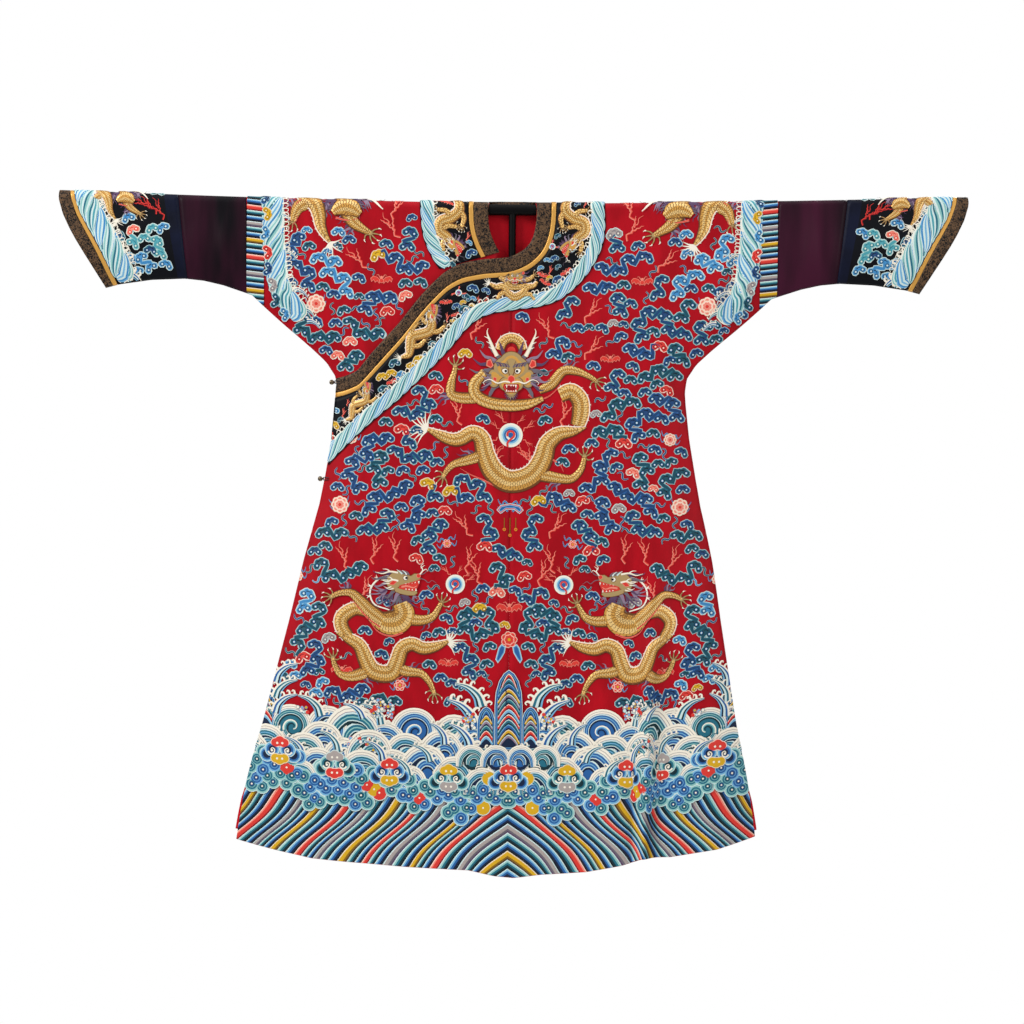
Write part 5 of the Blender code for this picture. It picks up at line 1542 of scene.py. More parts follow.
def mountain(wide, high, seed_order=0):
    """A rock of nested pointed bands. The origin is the middle of its foot."""
    art = Needlework()
    outer = (("ice", 1.2), ("blue", 3.0), ("sky", 1.0), ("navy", 1.4))
    outline = [(-1, 0), (-1, 0.55), (-0.93, 0.72), (-0.72, 0.86), (-0.4, 0.95), (0, 1.0),
               (0.4, 0.95), (0.72, 0.86), (0.93, 0.72), (1, 0.55), (1, 0)]
    art.patch(mm(*[(x * wide / 2, y * high) for x, y in outline]),
              tuple((t, w * MM, 0.3 * MM) for t, w in outer) + (("navy",),), 0.4 * MM)
    colours = (("white", "coral", "navy"), ("ice", "teal", "spruce"), ("sky", "blue", "navy"),
               ("cream", "yellow", "brown"), ("ice", "lilac", "navy"), ("mint", "teal", "spruce"),
               ("rose", "coral", "crimson"), ("ice", "sky", "navy"))
    inner = wide / 2 - 6.8
    drop = inner * 1.15
    for k in range(int((high - 22) / 10.5)):
        top = high - 9 - k * 10.5
        arch = inner * min(1.0, 0.66 + 0.2 * k)
        for shade, across, below in zip(colours[(k + seed_order) % len(colours)],
                                        (2.0, 5.0, 2.6), (0.0, 3.3, 7.0)):
            points = ((-arch, top - drop - below), (-arch * 0.6, top - drop * 0.42 - below),
                      (0, top - below), (arch * 0.6, top - drop * 0.42 - below),
                      (arch, top - drop - below))
            art.cord(mm(*points), across * MM, shade, (1.7 + 0.02 * k) * MM, 11)
    art.taken += [(0, high * MM * t, wide * 0.5 * MM) for t in (0.1, 0.35, 0.6, 0.85)]
    return art


# ---------------------------------------------------------------- where the embroidery goes
STRIPE_PITCH = 0.0186
STRIPE_FROM = 1.292          # a grey stripe's peak on the centre seam
STRIPE_ORDER = ("stone", "teal", "blue", "yellow", "teal", "blue", "coral", "teal", "blue")
STRIPE_THREADS = {
    "blue": ("ice", "sky", "blue", "navy", "ink"),
    "teal": ("ice", "mint", "teal", "spruce", "ink"),
    "yellow": ("cream", "yellow", "yellow", "ochre", "brown"),
    "stone": ("ice", "stone", "stone", "slate", "mauve"),
    "coral": ("rose", "pink", "coral", "coral", "crimson"),
}
ROLL_LANES = ((-1, 0.0006), (-0.74, 0.0032), (-0.35, 0.0046), (0.15, 0.0046), (0.62, 0.0030),
              (1, 0.0))
CLUSTER_FOOT = curve(
    (0.0, 1.256), (0.022, 1.250), (0.052, 1.270), (0.070, 1.268), (0.090, 1.292),
    (0.118, 1.290), (0.135, 1.252), (0.160, 1.255), (0.180, 1.272), (0.205, 1.270),
    (0.222, 1.240), (0.258, 1.236), (0.285, 1.262), (0.305, 1.270), (0.345, 1.256),
    (0.372, 1.254), (0.400, 1.274), (0.420, 1.270), (0.440, 1.232), (0.480, 1.228),
    (0.510, 1.240), (0.560, 1.225))
STRIPE_TOP = 0.035           # the stripes start this far above the clusters' lower edge
CROWNS = ((0.0, 1.198, "coral", "yellow", "blue"), (-0.122, 1.200, "yellow", "grey", "teal"),
          (-0.245, 1.190, "coral", "yellow", "blue"), (-0.357, 1.177, "grey", "coral", "teal"),
          (-0.470, 1.152, "coral", "yellow", "blue"))
WAVES = (
    ("arch", -0.520, 1.105, 52, "blue"), ("arch", -0.372, 1.098, 44, "blue"),
    ("arch", -0.318, 1.112, 62, "teal"), ("arch", -0.110, 1.112, 46, "teal"),
    ("roll", -0.446, 1.102, 52, "teal"), ("roll", -0.190, 1.106, 56, "blue"),
    ("arch", -0.255, 1.128, 46, "blue"), ("arch", -0.070, 1.128, 44, "blue"),
    ("arch", -0.385, 1.134, 48, "blue"), ("arch", -0.136, 1.146, 48, "blue"),
    ("arch", -0.500, 1.142, 46, "pale"), ("arch", -0.286, 1.150, 50, "teal"),
    ("arch", -0.210, 1.152, 46, "pale"), ("arch", -0.535, 1.160, 46, "teal"),
    ("arch", -0.420, 1.156, 46, "teal"), ("arch", -0.338, 1.164, 46, "blue"),
    ("arch", -0.060, 1.170, 52, "teal"), ("arch", -0.172, 1.180, 52, "blue"),
    ("arch", -0.238, 1.184, 44, "teal"), ("arch", -0.300, 1.190, 48, "pale"),
    ("arch", -0.392, 1.186, 46, "blue"), ("arch", -0.466, 1.180, 46, "blue"),
    ("arch", -0.110, 1.196, 44, "pale"), ("arch", 0.000, 1.190, 44, "blue"),
    ("arch", -0.360, 1.200, 40, "teal"), ("arch", -0.530, 1.200, 46, "teal"),
    ("arch", -0.052, 1.214, 40, "pale"), ("arch", -0.205, 1.214, 42, "blue"),
    ("arch", -0.262, 1.214, 40, "pale"), ("arch", -0.430, 1.206, 40, "pale"),
)
PLUMES = ((-0.070, 1.098, 66, 0.0), (-0.056, 1.052, 58, 0.1), (-0.078, 1.145, 58, -0.1),
          (-0.262, 1.092, 46, 0.0), (-0.300, 1.080, 40, 0.2), (-0.388, 1.078, 50, 0.1),
          (-0.130, 1.130, 44, -0.1), (-0.350, 1.150, 46, 0.0), (-0.258, 1.166, 44, 0.0),
          (-0.160, 1.166, 40, 0.1), (-0.425, 1.160, 40, 0.0), (-0.205, 1.196, 40, 0.0),
          (-0.330, 1.196, 38, 0.0), (-0.500, 1.176, 44, 0.0))


def stripe_edge(side, s_top, hem):
    """One edge between stripes on a half, from the centre seam to the hem or side seam."""
    x, s, step = [0.0], [s_top], 0.004
    while s[-1] < 1.45 and x[-1] < 0.62:
        away = smooth(x[-1] / 0.10)
        slope = 1.5 - 0.60 * away + 0.30 * away * cos(tau * (s[-1] - 1.314) / 0.13)
        x.append(x[-1] + slope * step)
        s.append(s[-1] + step)
    x, s = np.array(x), np.array(s)
    over = np.minimum(read(hem, side * x) - s, read(SIDE, s) - 0.001 - x)
    last = int(np.argmax(over < 0)) if (over < 0).any() else len(x) - 1
    if last == 0:
        return None
    share = over[last - 1] / (over[last - 1] - over[last])
    x = np.append(x[:last], x[last - 1] + (x[last] - x[last - 1]) * share)
    s = np.append(s[:last], s[last - 1] + (s[last] - s[last - 1]) * share)
    start = s >= read(CLUSTER_FOOT, x) - STRIPE_TOP
    if start.sum() < 2:
        return None
    x, s = x[start], s[start]
    at = np.linspace(0, len(x) - 1, 26)
    return np.stack((-np.interp(at, range(len(x)), x), -np.interp(at, range(len(x)), s)), axis=-1)


def stripes(hem):
    """The slanting stripes above the hem, which meet in peaks on the centre seam."""
    art = Needlework()
    for side in (-1, 1):
        half = Needlework()
        edges = [(k, stripe_edge(side, STRIPE_FROM + k * STRIPE_PITCH, hem))
                 for k in range(-34, 8)]
        for (k, upper), (_, lower) in zip(edges, edges[1:]):
            if upper is None:
                continue
            if lower is None:
                lower = np.broadcast_to(upper[-1], upper.shape)
            threads = STRIPE_THREADS[STRIPE_ORDER[k % 9]]
            half.between(upper, lower, ROLL_LANES, threads)
        art.stamp(half, flip=side > 0)
    return art


def cloud_banks():
    """Bunches of round clouds along the top of the stripes, under the great cloud heads."""
    half = Needlework()
    rng = np.random.default_rng(11)
    made = {kind: pearl_lobe(kind) for kind in ("blue", "teal", "mixed", "coral", "yellow")}
    spots = []
    for row in range(5):
        for column in range(24):
            x = -0.002 - column * 0.0240 - 0.0120 * (row % 2)
            s = float(read(CLUSTER_FOOT, -x)) - 0.011 - row * 0.0175
            near = min(CROWNS, key=lambda crown: abs(crown[0] - x))
            if s > near[1] - 0.006 + 0.046 * smooth((abs(near[0] - x) - 0.040) / 0.025) \
                    or row < 2:
                spots.append((x + rng.uniform(-2, 2) * MM, s + rng.uniform(-2, 2) * MM))
    spots.sort(key=lambda place: -place[1])
    for k, (x, s) in enumerate(spots):
        kind = ("teal", "blue", "mixed", "teal", "blue")[rng.integers(5)]
        if k % 11 == 6:
            kind = ("coral", "yellow")[k % 3 == 0]
        half.stamp(made[kind], x, -s, rng.uniform(-1, 1), rng.uniform(1.25, 1.45),
                   rise=0.0080 + 0.000025 * k)
    art = Needlework()
    art.pair(half)
    for x, s, cap, foot, tint in CROWNS:
        crown = ruyi_crown(cap, foot, tint)
        for way in ((1, -1) if x else (1,)):
            art.stamp(crown, x * way, -s, size=1.22, rise=0.0116)
    return art


def waves():
    """The rolling sea, its spray and its jewels, with a rock on the centre seam."""
    half = Needlework()
    far = np.linspace(0.0, -0.57, 40)
    half.between(np.stack((far, 0 * far - 1.13), axis=-1),
                 np.stack((far, 0 * far - 1.235), axis=-1),
                 ((-1, 0.0002), (0, 0.0003), (1, 0.0002)), ("sky", "teal"))
    for k, (kind, x, s, radius, tint) in enumerate(WAVES):
        made = wave_roll(radius, tint) if kind == "roll" else wave_arch(radius, tint)
        half.stamp(made, x, -s, rise=0.065 * (s - 1.10) + 0.0006 * (k % 3))
    for k, (x, s, size, turn) in enumerate(PLUMES):
        half.stamp(foam_plume(size, ("blue", "teal")[k % 2]), x, -s, turn,
                   rise=0.065 * (s - 1.09) + 0.0040)
    for k, (x, s, wide, high) in enumerate(((-0.262, 1.058, 48, 40), (-0.300, 1.124, 60, 18),
                                            (-0.165, 1.148, 50, 20), (-0.082, 1.080, 26, 30),
                                            (-0.425, 1.064, 22, 14), (-0.262, 1.142, 40, 14))):
        half.stamp(jewel_heap(20 + k, wide, high), x, -s, rise=0.0052)
    art = Needlework()
    art.pair(half)
    for x in (-0.046, 0.046):
        art.stamp(mountain(38, 92, 2), x, -1.142, rise=0.0060)
    art.stamp(mountain(58, 166), 0.0, -1.140, rise=0.0080)
    for k, x in enumerate((-0.074, 0.074, -0.025, 0.025)):
        art.stamp(wave_arch(32, ("teal", "blue")[k // 2]), x, -1.160, flip=x > 0,
                  rise=0.0105 + 0.0004 * k)
    for way in (-1, 1):
        art.stamp(foam_plume(40, "teal"), way * 0.014, -1.170, 0.1, flip=way > 0, rise=0.0110)
        art.stamp(mountain(44, 100, 1), way * 0.505, -1.108, rise=0.0016)
        for k, s in enumerate((1.075, 1.045, 1.012)):
            art.stamp(foam_plume(48, ("blue", "teal")[k % 2]), way * 0.482, -s, -0.1,
                      flip=way < 0, rise=0.0030)
    art.taken += [(x * 0.01, -1.09, 0.03) for x in range(-56, 57, 3)]
    art.taken += [(way * x, -1.04, 0.03) for way in (-1, 1) for x in (0.19, 0.45, 0.50, 0.06)]
    return art


HEAD_ROOM = 0.0124          # radius that a cloud head keeps to itself
CURL_ROOM = 0.0085
CHAIN_RISE = 0.000047       # neighbouring chains and heads lie at slightly different heights
LINK_RISE = 0.00002


def wander(rng, place, heading, length, turns, step):
    """Places of a chain's cloud heads. From each, the chain turns to either side by an angle
    between the two in turns, and the next head stands one step (across, up) further on."""
    x, y = place
    chain = [place]
    for _ in range(length - 1):
        heading += rng.choice((-1, 1)) * rng.uniform(*turns)
        x, y = x + step[0] * cos(heading), y + step[1] * sin(heading)
        chain.append((x, y))
    return chain


def free(taken, x, y, radius):
    return bool((np.hypot(taken[:, 0] - x, taken[:, 1] - y) > taken[:, 2] + radius).all())


def fill_clouds(taken, allowed, seed, reach=(0.53, 1.075), tries=24000):
    """Chains of cloud heads in the gaps, the same on both sides where there is room."""
    art = Needlework()
    rng = np.random.default_rng(seed)
    heads = {kind: cloud_head(kind) for kind in CLOUD_KINDS}
    loose = {kind: curl(kind) for kind in ("blue", "teal", "mixed", "bright")}
    taken = np.array(taken)
    for attempt in range(tries):
        # long chains first, then short ones, single heads and last small heads and curls. Both
        # lengths are drawn every time, so that the draws keep their order.
        stage = attempt * 4 // tries
        length = (int(rng.integers(3, 7)), int(rng.integers(2, 4)), 1, 1)[stage]
        size = (1.14, 1.14, 1.0, 0.78)[stage]
        bent = stage == 3 and rng.integers(5) < 3
        x, y = -rng.uniform(0.008, reach[0]), -rng.uniform(0.006, reach[1])
        heading = rng.uniform(0, tau)
        lively = "bright" if abs(y + 0.475) > 0.3 and x < -0.31 else "mixed"
        kind = ("blue", "teal", lively, "blue", "teal", lively)[rng.integers(6)]
        accent = ("yellow", "coral", "grey", "pink", "coral")[rng.integers(5)]
        chain = wander(rng, (x, y), heading, length, (0.6, 1.3), (0.036, 0.030))
        turns = rng.uniform(-0.5, 0.5, length)
        room = CURL_ROOM if bent else HEAD_ROOM * size
        chain_rise = CHAIN_RISE * (attempt % 6)
        for way in (1, -1):
            if not all(free(taken, way * cx, cy, room) and allowed(way * cx, cy)
                       for cx, cy in chain):
                continue
            flip = way < 0
            for a, b in zip(chain, chain[1:]):
                link = Needlework()
                cloud_stem(link, a, b, kind, 0.34)
                art.stamp(link, flip=flip, rise=chain_rise)
            for k, (cx, cy) in enumerate(chain):
                chosen = accent if k == 0 and rng.integers(7) == 0 else kind
                art.stamp((loose[kind] if bent else heads[chosen]), way * cx, cy,
                          turns[k] * (3 if bent else 1) * way, size, flip,
                          chain_rise + LINK_RISE * (k + 1))
            taken = np.vstack((taken, [(way * cx, cy, room) for cx, cy in chain]))
    return art


def inside_outline(outline, x, y):
    """Whether places lie inside a closed outline."""
    x, y = np.asarray(x, dtype=float)[..., None], np.asarray(y, dtype=float)[..., None]
    (ax, ay), (bx, by) = outline.T, np.roll(outline, -1, axis=0).T
    slope = (bx - ax) / np.where(ay == by, 1.0, by - ay)
    crossed = ((ay > y) != (by > y)) & (x < slope * (y - ay) + ax)
    return crossed.sum(axis=-1) % 2 == 1


def facing_outlines():
    """Outlines of the collar facing, (x, s): its upper part with the lap, and the part under
    the lap; and its outer edge all along."""
    stations = band_lines(1)
    lines = np.array([edges[1] for _, edges in stations])
    outer = np.array([edges[2] for _, edges in stations])
    back = int(np.argmin(outer[:, 1]))
    over = np.concatenate((outer[back:], lines[back:][::-1]))
    under = np.concatenate((outer[:back + 1], lines[:back + 1][::-1]))
    return over, under, outer, back


ROPE_LANES = ((-1, 0.0004), (-0.86, 0.0012), (-0.66, 0.0016), (-0.42, 0.0020), (-0.14, 0.0022),
              (0.12, 0.0022), (0.40, 0.0020), (0.64, 0.0016), (0.84, 0.0012), (1, 0.0004))
ROPE_THREADS = (("pine", "ice", "mint", "teal", "ice", "lagoon", "ice", "mint", "white"),
                ("denim", "ice", "azure", "ice", "sky", "ice", "azure", "sky", "white"),
                ("teal", "ice", "mint", "ice", "teal", "mint", "ice", "white", "ice"))
ROPE_STATIONS = 400


def wave_rope(edge, wide=0.031, step=0.026, reach=0.033):
    """Long striped waves that overlap like a rope to the left of an edge, with foam."""
    art = Needlework()
    stations = np.arange(ROPE_STATIONS)
    route = bend(edge, ROPE_STATIONS)
    gone = lengths_along(route)
    side = left_of(route)

    def place(along, out):
        j = np.interp(along, gone, stations)
        return np.stack([np.interp(j, stations, route[:, c])
                         + np.interp(j, stations, side[:, c]) * out for c in (0, 1)], axis=-1)

    share = np.linspace(-1, 1, 15)
    for k, at in enumerate(np.arange(-0.012, gone[-1] + 0.012, step)):
        along = at + share * reach
        if along[0] < 0 or along[-1] > gone[-1]:
            along = np.clip(along, 0, gone[-1]) + 1e-4 * share
        out = wide * (0.50 + 0.36 * np.sin(share * 1.5))
        art.ribbon(place(along, out), wide * 0.30 * np.cos(share * 1.36), ROPE_LANES,
                   ROPE_THREADS[k % 3], 0.0004 + 0.0007 * (k % 2))
        for lift in (0.006, 0.016):
            spots = place(at + reach * 0.5 + np.array((0, 0.006, 0.003, -0.003)) + lift,
                          wide * np.array((0.74, 0.98, 1.18, 1.06)))
            art.cord(spots, 0.0030, "white", 0.0018, 7, 0.3)
    return art


def robe_clouds(front, taken, seed):
    """Cloud chains for one face of the body, clear of its collar."""
    lines = np.array([edges for _, edges in band_lines(1)])
    inner, outer = lines[:, 0], lines[:, 2]
    back = int(np.argmin(outer[:, 1]))
    parts = [np.concatenate((outer[cut], inner[cut][::-1]))
             for cut in (slice(back, None), slice(0, back + 1))]
    rim = np.concatenate(parts) if front else outer

    def allowed(x, y):
        s = -y
        wide = 0.462 if s < 0.235 else float(side_at(np.array(s))) - 0.018
        if abs(x) > wide or s < 0.014 or np.hypot(rim[:, 0] - x, rim[:, 1] - s).min() < 0.0165:
            return False
        if front:
            neck = abs(x) < 0.1 and s < 0.13
            return not (neck or any(inside_outline(part, x, s) for part in parts))
        return np.hypot(x, s) > 0.17 and (abs(x) > 0.2 or s > 0.085)

    return fill_clouds(taken, allowed, seed)


# ---------------------------------------------------------------- operators
class RobeSettings(bpy.types.PropertyGroup):
    """What a user would change."""
    camera_distance: FloatProperty(name="Camera distance", description="From the crossbar",
                                   default=6.0, unit="LENGTH")
    frame_width: FloatProperty(name="Frame width", description="Width seen at the crossbar",
                               default=2.127, unit="LENGTH")
    floor_level: FloatProperty(name="Floor level", description="Height of the studio floor",
                               default=-2.20, unit="LENGTH")
    floor_radius: FloatProperty(name="Floor radius", description="Size of the round floor",
                                default=1.6, unit="LENGTH")


class ROBE_OT_silk(bpy.types.Operator):
    """Makes the silk shells of the body and the lap"""
    bl_idname = "robe.silk"
    bl_label = "Body silk"

    def execute(self, context):
        red = mottled("crimson_satin", "#960212", "#AC0518", 0.5, 22.0, (1, 1, 0.4))
        lining = mottled("crimson_lining", "#B40616", "#C4081E", 0.6, 12.0)
        body_panel("body_left", 1, [red, lining])
        body_panel("body_right", -1, [red, lining])
        lap_panel([red, lining])
        return {"FINISHED"}


class ROBE_OT_collar(bpy.types.Operator):
    """Makes the collar's black facing, its gold braid and its brocade binding"""
    bl_idname = "robe.collar"
    bl_label = "Collar"

    def execute(self, context):
        black = mottled("black_satin", "#030409", "#070911", 0.5, 14.0)
        edging = brocade()
        gold = thread_material("gold")
        facing, x, s = band_strip("collar_facing", True, SEAM_GAP, 0.0, 12, TRIM_WALL, [black])
        braid = band_strip("collar_braid", False, -BRAID_WIDTH, 0.0, 4, BRAID_WALL, [gold],
                           rib=0.00025, steps=26)[0]
        binding = band_strip("collar_binding", False, 0.0, BRAID_WIDTH + SEAM_GAP, 5, TRIM_WALL,
                             [edging])
        return {"FINISHED"}


class ROBE_OT_sleeves(bpy.types.Operator):
    """Makes the plain sleeves, the horse-hoof cuffs and their trims"""
    bl_idname = "robe.sleeves"
    bl_label = "Sleeves and cuffs"

    def execute(self, context):
        # the sleeve silk's light streaks are painted sheen on soft wrinkles; its dark ground
        # varies at random
        plain = mottled("aubergine_silk", "#060208", "#3C0E26", 0.45, 9.0, (1, 1, 0.18),
                        rough_bump=0.0012)
        black = mottled("black_satin", "#030409", "#070911", 0.5, 14.0)
        navy = mottled("navy_satin", "#050817", "#0B1128", 0.5, 14.0)
        edging = brocade()
        gold = thread_material("gold")
        braid_end = shifted(braid_edge, CUFF_BRAID)

        def plain_strip(x, depth):
            wide = CUFF_PLAIN - CUFF_PLAIN_TAPER * depth
            return 1 if x < cuff_seam(max(depth, 0.0) / CUFF_SEAM_DEPTH) + wide else 0

        for side, name in ((-1, "right"), (1, "left")):
            sleeve = ring("sleeve_" + name, side, shifted(sleeve_seam, SEAM_GAP), cuff_seam, 16,
                          WALL, [plain], "aubergine_silk")
            cuff = ring("cuff_" + name, side, shifted(cuff_seam, SEAM_GAP), braid_edge, 22,
                        CUFF_WALL, [black, navy], "black_satin", plain_strip)
            braid = ring("cuff_braid_" + name, side, shifted(braid_edge, CUFF_GAP), braid_end, 4,
                         CUFF_TRIM_WALL, [gold], "gold_braid", rib=0.0002)[0]
            binding = ring("cuff_binding_" + name, side, shifted(braid_end, CUFF_GAP),
                           cuff_mouth, 5, CUFF_TRIM_WALL, [edging], "brown_brocade")
        return {"FINISHED"}


class ROBE_OT_hardware(bpy.types.Operator):
    """Makes the T-bar and the ball buttons with their loops"""
    bl_idname = "robe.hardware"
    bl_label = "T-bar and buttons"

    def execute(self, context):
        paint, _ = principled("black_paint", linear("#030304"), 0.5, shine=0.1)
        brass, _ = principled("dull_brass", linear("#6F6250"), 0.34, metallic=1.0)
        silk, _ = principled("loop_cord", linear("#15151C"), 0.6)
        smooth_bar(paint)
        for name, s, on_band in BUTTON_ROWS:
            ball_button(name, s, brass)
            button_loop(name, s, HALF_WALL + (LAYER_GAP + TRIM_WALL if on_band else 0.0), silk)
        return {"FINISHED"}


def smooth_bar(paint):
    """The crossbar bowed up a little at its ends, with its post and rounded end caps."""
    bm = bmesh.new()
    sides = 24
    stations = [(x, 1.0) for x in
                np.linspace(-BAR_HALF_LENGTH + 0.004, BAR_HALF_LENGTH - 0.004, 41)]
    stations = ([(-BAR_HALF_LENGTH, 0.72), (-BAR_HALF_LENGTH + 0.0012, 0.9)] + stations
                + [(BAR_HALF_LENGTH - 0.0012, 0.9), (BAR_HALF_LENGTH, 0.72)])
    rings = []
    for x, share in stations:
        made = bmesh.ops.create_circle(bm, segments=sides, radius=BAR_RADIUS * share)
        rise = BOW_RISE * (abs(x) / BOW_AT) ** BOW_POWER
        for vert in made["verts"]:
            vert.co = Vector((x, vert.co.x, vert.co.y + rise))
        rings.append(made["verts"])
    for near, far in zip(rings, rings[1:]):
        edges = [e for e in set(e for v in near for e in v.link_edges)
                 if e.other_vert(e.verts[0]) in near and e.verts[0] in near]
        edges += [e for e in set(e for v in far for e in v.link_edges)
                  if e.verts[0] in far and e.verts[1] in far]
        bmesh.ops.bridge_loops(bm, edges=edges)
    for loop in (rings[0], rings[-1]):
        bm.faces.new(loop)
    post = bmesh.ops.create_cone(bm, cap_ends=True, segments=sides, radius1=POST_RADIUS,
                                 radius2=POST_RADIUS, depth=-POST_FOOT - 0.006)
    bmesh.ops.translate(bm, verts=post["verts"], vec=(0, 0, (POST_FOOT - 0.006) / 2))
    bmesh.ops.recalc_face_normals(bm, faces=bm.faces)
    mesh = finished(bm, "t_bar_painted")
    piece = put("t_bar_painted", mesh, [paint], ["t_bar"])
    piece.data.set_sharp_from_angle(angle=radians(40))


def lap_edge(s):
    """The lap's side edge at a row."""
    x = np.array([-float(read(SIDE, s))])
    return Vector(cloth_points(x, np.array([s]), LAP)[0])


def ball_button(name, s, brass):
    """A ball with a fine waist line, on its shank."""
    ball = lap_edge(s)
    ball = Vector((ball.x - BUTTON_REACH, 0.0, ball.z))
    bm = bmesh.new()
    steps = 18
    shank_end = BUTTON_REACH - SHANK_GAP
    profile = []
    for i in range(steps):
        turn = pi * i / steps
        waist = 1 - 0.05 * np.exp(-((turn - pi / 2) / 0.10) ** 2)
        profile.append((-BUTTON_RADIUS * cos(turn), BUTTON_RADIUS * sin(turn) * waist))
    profile[-1] = ((BUTTON_RADIUS ** 2 - SHANK_RADIUS ** 2) ** 0.5, SHANK_RADIUS)
    profile += [(shank_end, SHANK_RADIUS), (shank_end, 0.0)]
    verts = [bm.verts.new((x, 0.0, r)) for x, r in profile]
    edges = [bm.edges.new(pair) for pair in zip(verts, verts[1:])]
    bmesh.ops.spin(bm, geom=verts + edges, cent=(0, 0, 0), axis=(1, 0, 0), angle=tau, steps=28,
                   use_merge=True)
    bmesh.ops.remove_doubles(bm, verts=bm.verts, dist=1e-6)
    bmesh.ops.recalc_face_normals(bm, faces=bm.faces)
    bmesh.ops.translate(bm, verts=bm.verts, vec=ball)
    mesh = finished(bm, "button_" + name + "_ball")
    put("button_" + name + "_ball", mesh, [brass], ["button_" + name])


def button_loop(name, s, under, silk):
    """The cord loop: its legs lie on the lap and it turns round the button's shank."""
    edge = lap_edge(s)
    ring_radius = SHANK_RADIUS + LOOP_RADIUS + 2 * SEAM_GAP
    lying = under + LAYER_GAP + LOOP_RADIUS
    legs = {-1: [], 1: []}
    for way, leg in legs.items():
        for inward, spread in ((0.009, 0.0017), (0.004, 0.0022), (-0.0014, 0.0030)):
            at = s + way * spread
            x = np.array([-float(read(SIDE, at)) + max(inward, 0.0)])
            on = cloth_points(x, np.array([at]), LAP)[0]
            leg.append((on[0] + min(inward, 0.0), on[1] - lying, on[2]))
    turns = [(edge.x - LOOP_OUT, -ring_radius * cos(turn),
              edge.z + ring_radius * sin(turn) * 1.15)
             for turn in (pi * step / 6 for step in (2, 4, 6, 8, 10))]
    route = legs[-1] + turns + legs[1][::-1]
    data = bpy.data.curves.new("loop_" + name + "_cord", "CURVE")
    data.dimensions = "3D"
    data.bevel_depth = LOOP_RADIUS
    data.bevel_resolution = 3
    data.use_fill_caps = True
    data.resolution_u = 8
    spline = data.splines.new("NURBS")
    spline.points.add(len(route) - 1)
    spline.use_endpoint_u = True
    spline.order_u = 4
    for point, place in zip(spline.points, route):
        point.co = (*place, 1.0)
    data.materials.append(silk)
    loop = bpy.data.objects.new("loop_" + name + "_cord", data)
    bpy.context.collection.objects.link(loop)
    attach(loop, "root")
    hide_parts("loop_" + name)


CAMERA_X, CAMERA_Z = 0.0040, -0.6270
CAMERA_ROLL = -0.45         # degrees
LIGHT_AIM = (0.0, 0.0, -0.62)
LIGHTS = (                  # name, place, size, power
    ("key", (-3.6, -2.9, 2.4), 2.2, 215.0), ("fill", (3.2, -3.4, 0.8), 3.0, 58.0),
    ("top", (0.0, -0.6, 3.2), 3.0, 40.0), ("rear", (2.6, 3.4, 2.0), 2.6, 170.0),
    ("rear_fill", (-3.0, 3.2, 0.6), 3.0, 70.0),
)
SURROUND_LIGHT = 0.47       # strength of the white surround on the robe
SURROUND_SEEN = 1.0         # and as the camera sees it


class ROBE_OT_stage(bpy.types.Operator):
    """Makes the floor, the white surround, the lights and the camera"""
    bl_idname = "robe.stage"
    bl_label = "Stage"

    def execute(self, context):
        settings = context.scene.robe
        pale, _ = principled("studio_floor", linear("#F4F4F2"), 0.9)
        bm = bmesh.new()
        bmesh.ops.create_circle(bm, cap_ends=True, radius=settings.floor_radius, segments=64)
        bmesh.ops.translate(bm, verts=bm.verts, vec=(0.0, 0.0, settings.floor_level))
        mesh = finished(bm, "studio_floor")
        mesh.materials.append(pale)
        floor = bpy.data.objects.new("studio_floor", mesh)
        context.collection.objects.link(floor)
        for name, place, size, power in LIGHTS:
            light = bpy.data.lights.new(name, "AREA")
            light.shape = "SQUARE"
            light.size = size
            light.energy = power
            lamp = bpy.data.objects.new(name, light)
            lamp.location = place
            aim = Vector(LIGHT_AIM) - Vector(place)
            lamp.rotation_euler = aim.to_track_quat("-Z", "Y").to_euler()
            context.collection.objects.link(lamp)
        world = context.scene.world or bpy.data.worlds.new("studio")
        context.scene.world = world
        world.use_nodes = True
        tree = world.node_tree
        tree.nodes.clear()
        rays = tree.nodes.new("ShaderNodeLightPath")
        both = tree.nodes.new("ShaderNodeMixShader")
        tree.links.new(rays.outputs["Is Camera Ray"], both.inputs[0])
        for slot, strength in ((1, SURROUND_LIGHT), (2, SURROUND_SEEN)):
            sky = tree.nodes.new("ShaderNodeBackground")
            sky.inputs["Color"].default_value = (1.0, 1.0, 1.0, 1.0)
            sky.inputs["Strength"].default_value = strength
            tree.links.new(sky.outputs[0], both.inputs[slot])
        tree.links.new(both.outputs[0], tree.nodes.new("ShaderNodeOutputWorld").inputs["Surface"])
        context.scene.view_settings.view_transform = "Standard"
        lens = bpy.data.cameras.new("camera")
        lens.sensor_width = 36.0
        lens.lens = 36.0 * settings.camera_distance / settings.frame_width
        lens.clip_end = 60.0
        camera = bpy.data.objects.new("camera", lens)
        camera.location = (CAMERA_X, -settings.camera_distance, CAMERA_Z)
        camera.rotation_euler = (pi / 2, radians(CAMERA_ROLL), 0.0)
        context.collection.objects.link(camera)
        context.scene.camera = camera
        return {"FINISHED"}


class ROBE_PT_panel(bpy.types.Panel):
    """Shows the robe's settings and its operators in the sidebar"""
    bl_idname = "ROBE_PT_panel"
    bl_label = "Dragon robe"
    bl_space_type = "VIEW_3D"
    bl_region_type = "UI"
    bl_category = "Robe"

    def draw(self, context):
        for name in ("camera_distance", "frame_width", "floor_level", "floor_radius"):
            self.layout.prop(context.scene.robe, name)
        for operator in OPERATORS:
            self.layout.operator(operator.bl_idname)


